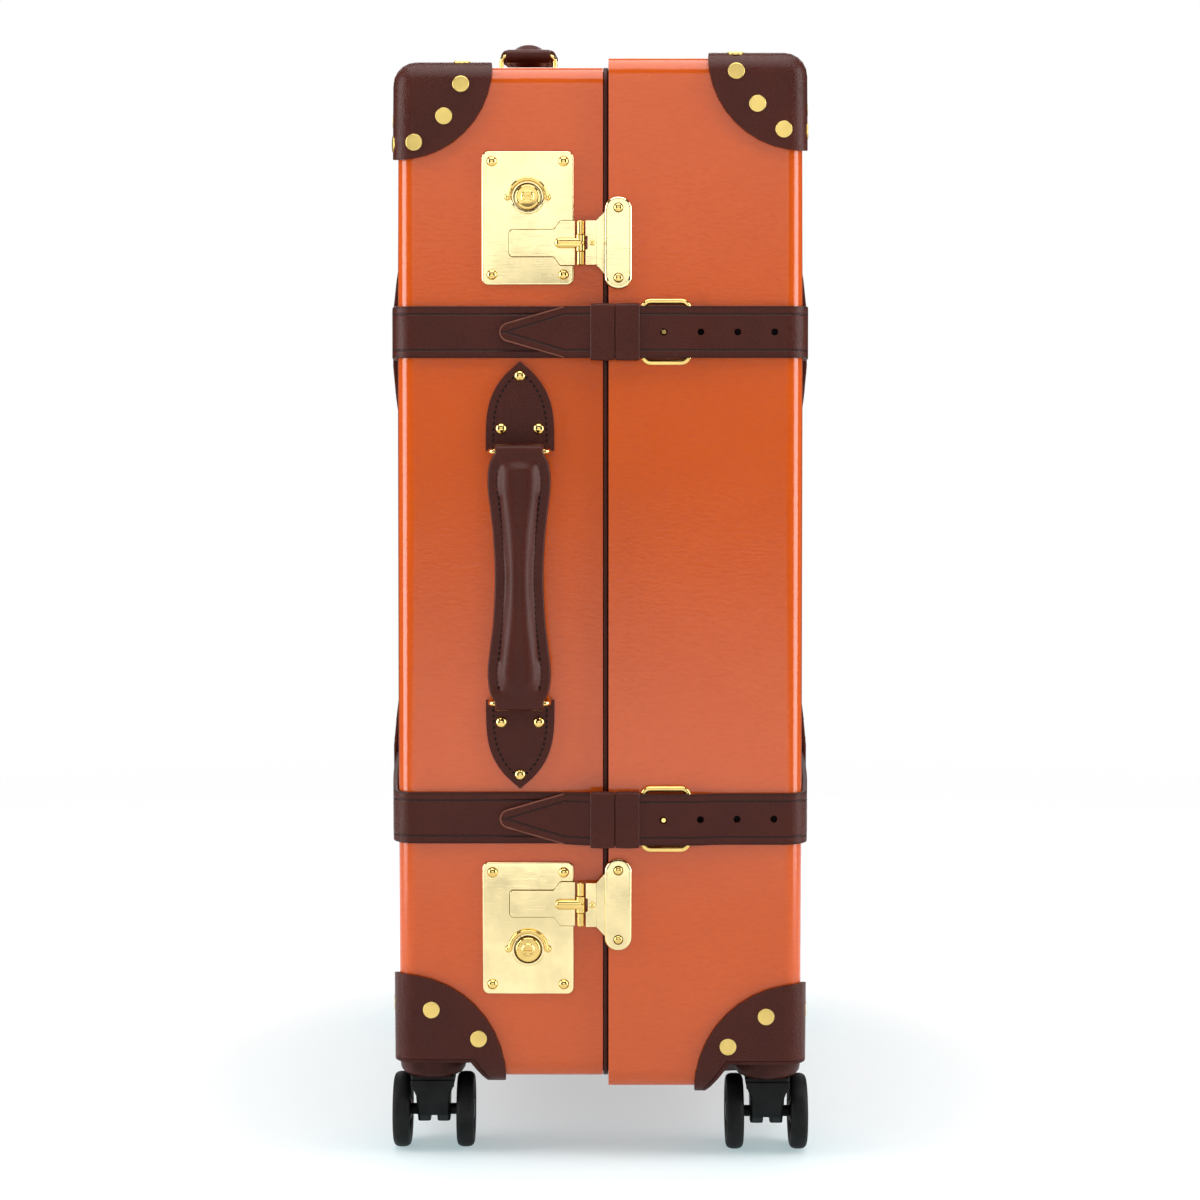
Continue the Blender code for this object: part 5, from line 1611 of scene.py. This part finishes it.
def make_strike(lock):
    """Strike plate with its rivets, bent arm and barrels."""
    name = f"{lock.level}_strike"
    node = f"{name}_plate"
    place = facing(Vector((lock.strike_x, lock.strike_seat, lock.axis.z)), FRONT)
    half = lock.strike_half
    work = bmesh.new()
    soft_slab(work, STRIKE_HALF_WIDTH, half, STRIKE_ROUND, place, 0.0, STRIKE_RISE, STRIKE_SOFT)
    finish_piece(f"{name}_face", work, "brass", "lid", node)
    finish_piece(f"{name}_arm", make_strike_arm(lock), "brass", "lid", node, ARM_SOFT)

    work = bmesh.new()
    for side in (UP, -UP):
        turned(work, soft_rod(BARREL_RADIUS, *BARREL_SPAN, BARREL_SOFT), facing(lock.axis, side))
    dome(work, facing(lock.at(KNOB_RUN, 0.0, HASP_BARREL), FRONT), KNOB_SIZE, KNOB_RISE)
    finish_piece(f"{name}_barrels", work, "gilt", "lid", node)

    # Each rivet sits in a thin dark ring of painted shade, so that it looks sunk
    rivets = bmesh.new()
    rims = bmesh.new()
    for step in (-STRIKE_RIVET_STEP, STRIKE_RIVET_STEP):
        spot = place @ Matrix.Translation((0.0, step, STRIKE_RISE))
        dome(rivets, spot, STRIKE_RIVET, STRIKE_RIVET_RISE)
        turned(rims, in_mm(STRIKE_RIVET_SHADE), spot, loop=True)
    finish_piece(f"{name}_rivets", rivets, "gilt", "lid")
    finish_piece(f"{name}_rivet_rims", rims, "tarnish", "lid")


def make_key(lock):
    """Ringed face of the key cylinder, the bail, and a dark ring of painted shade round it."""
    name = f"{lock.level}_key"
    work = bmesh.new()
    turned(work, in_mm(KEY_RING), facing(lock.key, FRONT), loop=True, sides=HUB_SIDES)
    finish_piece(f"{name}_core", work, "gilt", name)

    face = lock.key.copy()
    face.y = lock.plate_front - KEY_RING_TOP
    place = facing(face, FRONT)
    # Painted shade: a thin dark brass ring where the groove round the key is shaded
    work = bmesh.new()
    turned(work, in_mm(KEY_GROOVE_SHADE), place, loop=True, sides=HUB_SIDES)
    finish_piece(f"{name}_groove", work, "tarnish", "base")

    work = bmesh.new()
    arc = circle(BAIL_RADIUS, 2 * BAIL_STEPS)[: BAIL_STEPS + 1]
    wire(work, [place @ Vector((a, b, 0.0)) for a, b in arc], BAIL_WIRE, FRONT, loop=False)
    for side in (-1, 1):
        ear = place @ Matrix.Translation((side * EAR_REACH, 0.0, -EAR_SINK))
        dome(work, ear, EAR_SIZE, KNOB_RISE)
    finish_piece(f"{name}_bail", work, "gilt", "base")


def make_locks():
    """Fine pieces of both locks."""
    for level in LEVELS:
        lock = Lock(level)
        make_hasp(lock)
        make_strike(lock)
        make_key(lock)


# Stage


def make_floor(look):
    """Pale round floor that fades out, its glow offsetting the tint that the case throws on it."""
    work = bmesh.new()
    bmesh.ops.create_circle(work, cap_ends=True, segments=FLOOR_SIDES, radius=FLOOR_RADIUS)
    floor = new_object("studio_floor", new_mesh("studio_floor", work))
    values = {"Base Color": (*look.floor, 1.0), "Roughness": 0.9, "Emission Strength": 1.0}
    made, tree, shader = new_finish("studio_floor", values)
    away = vector_maths(tree, "LENGTH", object_spot(tree))["Value"]
    far = ramp(tree, away, *GLOW_EDGES)
    glow = blended(tree, far, (*look.near_glow, 1.0), (*look.floor_glow, 1.0))
    tree.links.new(glow, shader.inputs["Emission Color"])
    tree.links.new(ramp(tree, away, FLOOR_FADE, FLOOR_RADIUS, 1.0, 0.0), shader.inputs["Alpha"])
    floor.data.materials.append(made)


def make_room(look):
    """White room that gives little light of its own."""
    world = bpy.data.worlds.new("studio_room")
    world.use_nodes = True
    tree = world.node_tree
    tree.nodes.clear()
    white = {"Color": (1.0, 1.0, 1.0, 1.0)}
    soft = add(tree, "ShaderNodeBackground", {**white, "Strength": look.room}).outputs[0]
    plain = add(tree, "ShaderNodeBackground", {**white, "Strength": 1.0}).outputs[0]
    seen = add(tree, "ShaderNodeLightPath").outputs["Is Camera Ray"]
    mixed = add(tree, "ShaderNodeMixShader", {0: seen, 1: soft, 2: plain})
    add(tree, "ShaderNodeOutputWorld", {"Surface": mixed.outputs[0]})
    bpy.context.scene.world = world


def make_lights(look):
    """Large soft lights, each turned to its target."""
    for name, (place, target, size, setting) in STAGE_LIGHTS.items():
        data = bpy.data.lights.new(name, "AREA")
        data.shape = "RECTANGLE"
        data.size, data.size_y = size
        data.energy = getattr(look, setting)
        lamp = new_object(name, data)
        lamp.location = place
        lamp.rotation_euler = (Vector(target) - Vector(place)).to_track_quat("-Z", "Y").to_euler()
        lamp.visible_camera = False


def make_camera(look):
    """Camera at the photograph's angle."""
    data = bpy.data.cameras.new("camera")
    data.lens = look.lens
    data.sensor_width = SENSOR_WIDTH
    data.shift_y = look.shift
    camera = new_object("camera", data)
    camera.location = (0.0, HALVES["base"].middle.y - look.distance, look.height)
    camera.rotation_euler = (math.pi / 2 - look.tilt, 0.0, 0.0)
    bpy.context.scene.camera = camera
    bpy.context.scene.view_settings.view_transform = "Standard"


# Add-on classes


class SuitcaseFinishes(bpy.types.Operator):
    """Make the node groups and finishes"""

    bl_idname = "suitcase.finishes"
    bl_label = "Finishes"

    def execute(self, context):
        make_finishes()
        return {"FINISHED"}


class SuitcaseShells(bpy.types.Operator):
    """Make the lacquered shells and their lining"""

    bl_idname = "suitcase.shells"
    bl_label = "Shells and lining"

    def execute(self, context):
        make_shells()
        return {"FINISHED"}


class SuitcaseHandles(bpy.types.Operator):
    """Make the carry handles: patches, rings and padded grips"""

    bl_idname = "suitcase.handles"
    bl_label = "Carry handles"

    def execute(self, context):
        make_patches()
        make_rings()
        make_grips()
        return {"FINISHED"}


class SuitcaseStraps(bpy.types.Operator):
    """Make the strap loops, billet edges, painted shade in the holes and buckles"""

    bl_idname = "suitcase.straps"
    bl_label = "Loops and buckles"

    def execute(self, context):
        make_loops()
        make_billet_edges()
        make_hole_shades()
        make_buckles()
        return {"FINISHED"}


class SuitcaseWheels(bpy.types.Operator):
    """Make the wheels and their swivelling forks"""

    bl_idname = "suitcase.wheels"
    bl_label = "Wheels and forks"

    def execute(self, context):
        make_wheels()
        make_forks()
        return {"FINISHED"}


class SuitcaseRivets(bpy.types.Operator):
    """Make the rivets of corners, plates and hinges, and the keepers' sewing"""

    bl_idname = "suitcase.rivets"
    bl_label = "Rivets and keeper seams"

    def execute(self, context):
        make_disc_rivets()
        make_plate_rivets()
        make_keeper_seams()
        return {"FINISHED"}


class SuitcaseLocks(bpy.types.Operator):
    """Make the hasps, strike plates and key details"""

    bl_idname = "suitcase.locks"
    bl_label = "Locks"

    def execute(self, context):
        make_locks()
        return {"FINISHED"}


class SuitcaseSolids(bpy.types.Operator):
    """Dress the solids that stay in view"""

    bl_idname = "suitcase.solids"
    bl_label = "Solids"

    def execute(self, context):
        dress_solids()
        return {"FINISHED"}


class SuitcaseStageSet(bpy.types.Operator):
    """Set the floor, room, lights and camera"""

    bl_idname = "suitcase.stage"
    bl_label = "Stage"

    def execute(self, context):
        look = context.scene.suitcase_stage
        make_floor(look)
        make_room(look)
        make_lights(look)
        make_camera(look)
        return {"FINISHED"}


OPERATORS = (
    SuitcaseFinishes,
    SuitcaseShells,
    SuitcaseHandles,
    SuitcaseStraps,
    SuitcaseWheels,
    SuitcaseRivets,
    SuitcaseLocks,
    SuitcaseSolids,
    SuitcaseStageSet,
)


class SuitcasePanel(bpy.types.Panel):
    """Steps that dress the suitcase, and the values they use"""

    bl_idname = "VIEW3D_PT_suitcase"
    bl_label = "Suitcase"
    bl_space_type = "VIEW_3D"
    bl_region_type = "UI"
    bl_category = "Suitcase"

    def draw(self, context):
        for step in OPERATORS:
            self.layout.operator(step.bl_idname)
        for holder, kind in HOLDERS.items():
            for name in kind.__annotations__:
                self.layout.prop(getattr(context.scene, holder), name)


CLASSES = (*HOLDERS.values(), *OPERATORS, SuitcasePanel)


def register():
    """Register the classes and the values they use."""
    for item in CLASSES:
        bpy.utils.register_class(item)
    for holder, kind in HOLDERS.items():
        setattr(bpy.types.Scene, holder, PointerProperty(type=kind))


def unregister():
    """Take the values and classes out again."""
    for holder in HOLDERS:
        delattr(bpy.types.Scene, holder)
    for item in reversed(CLASSES):
        bpy.utils.unregister_class(item)


def main():
    """Dress the suitcase step by step."""
    register()
    bpy.ops.suitcase.finishes()
    bpy.ops.suitcase.shells()
    bpy.ops.suitcase.handles()
    bpy.ops.suitcase.straps()
    bpy.ops.suitcase.wheels()
    bpy.ops.suitcase.rivets()
    bpy.ops.suitcase.locks()
    bpy.ops.suitcase.solids()
    bpy.ops.suitcase.stage()


if __name__ == "__main__":
    main()
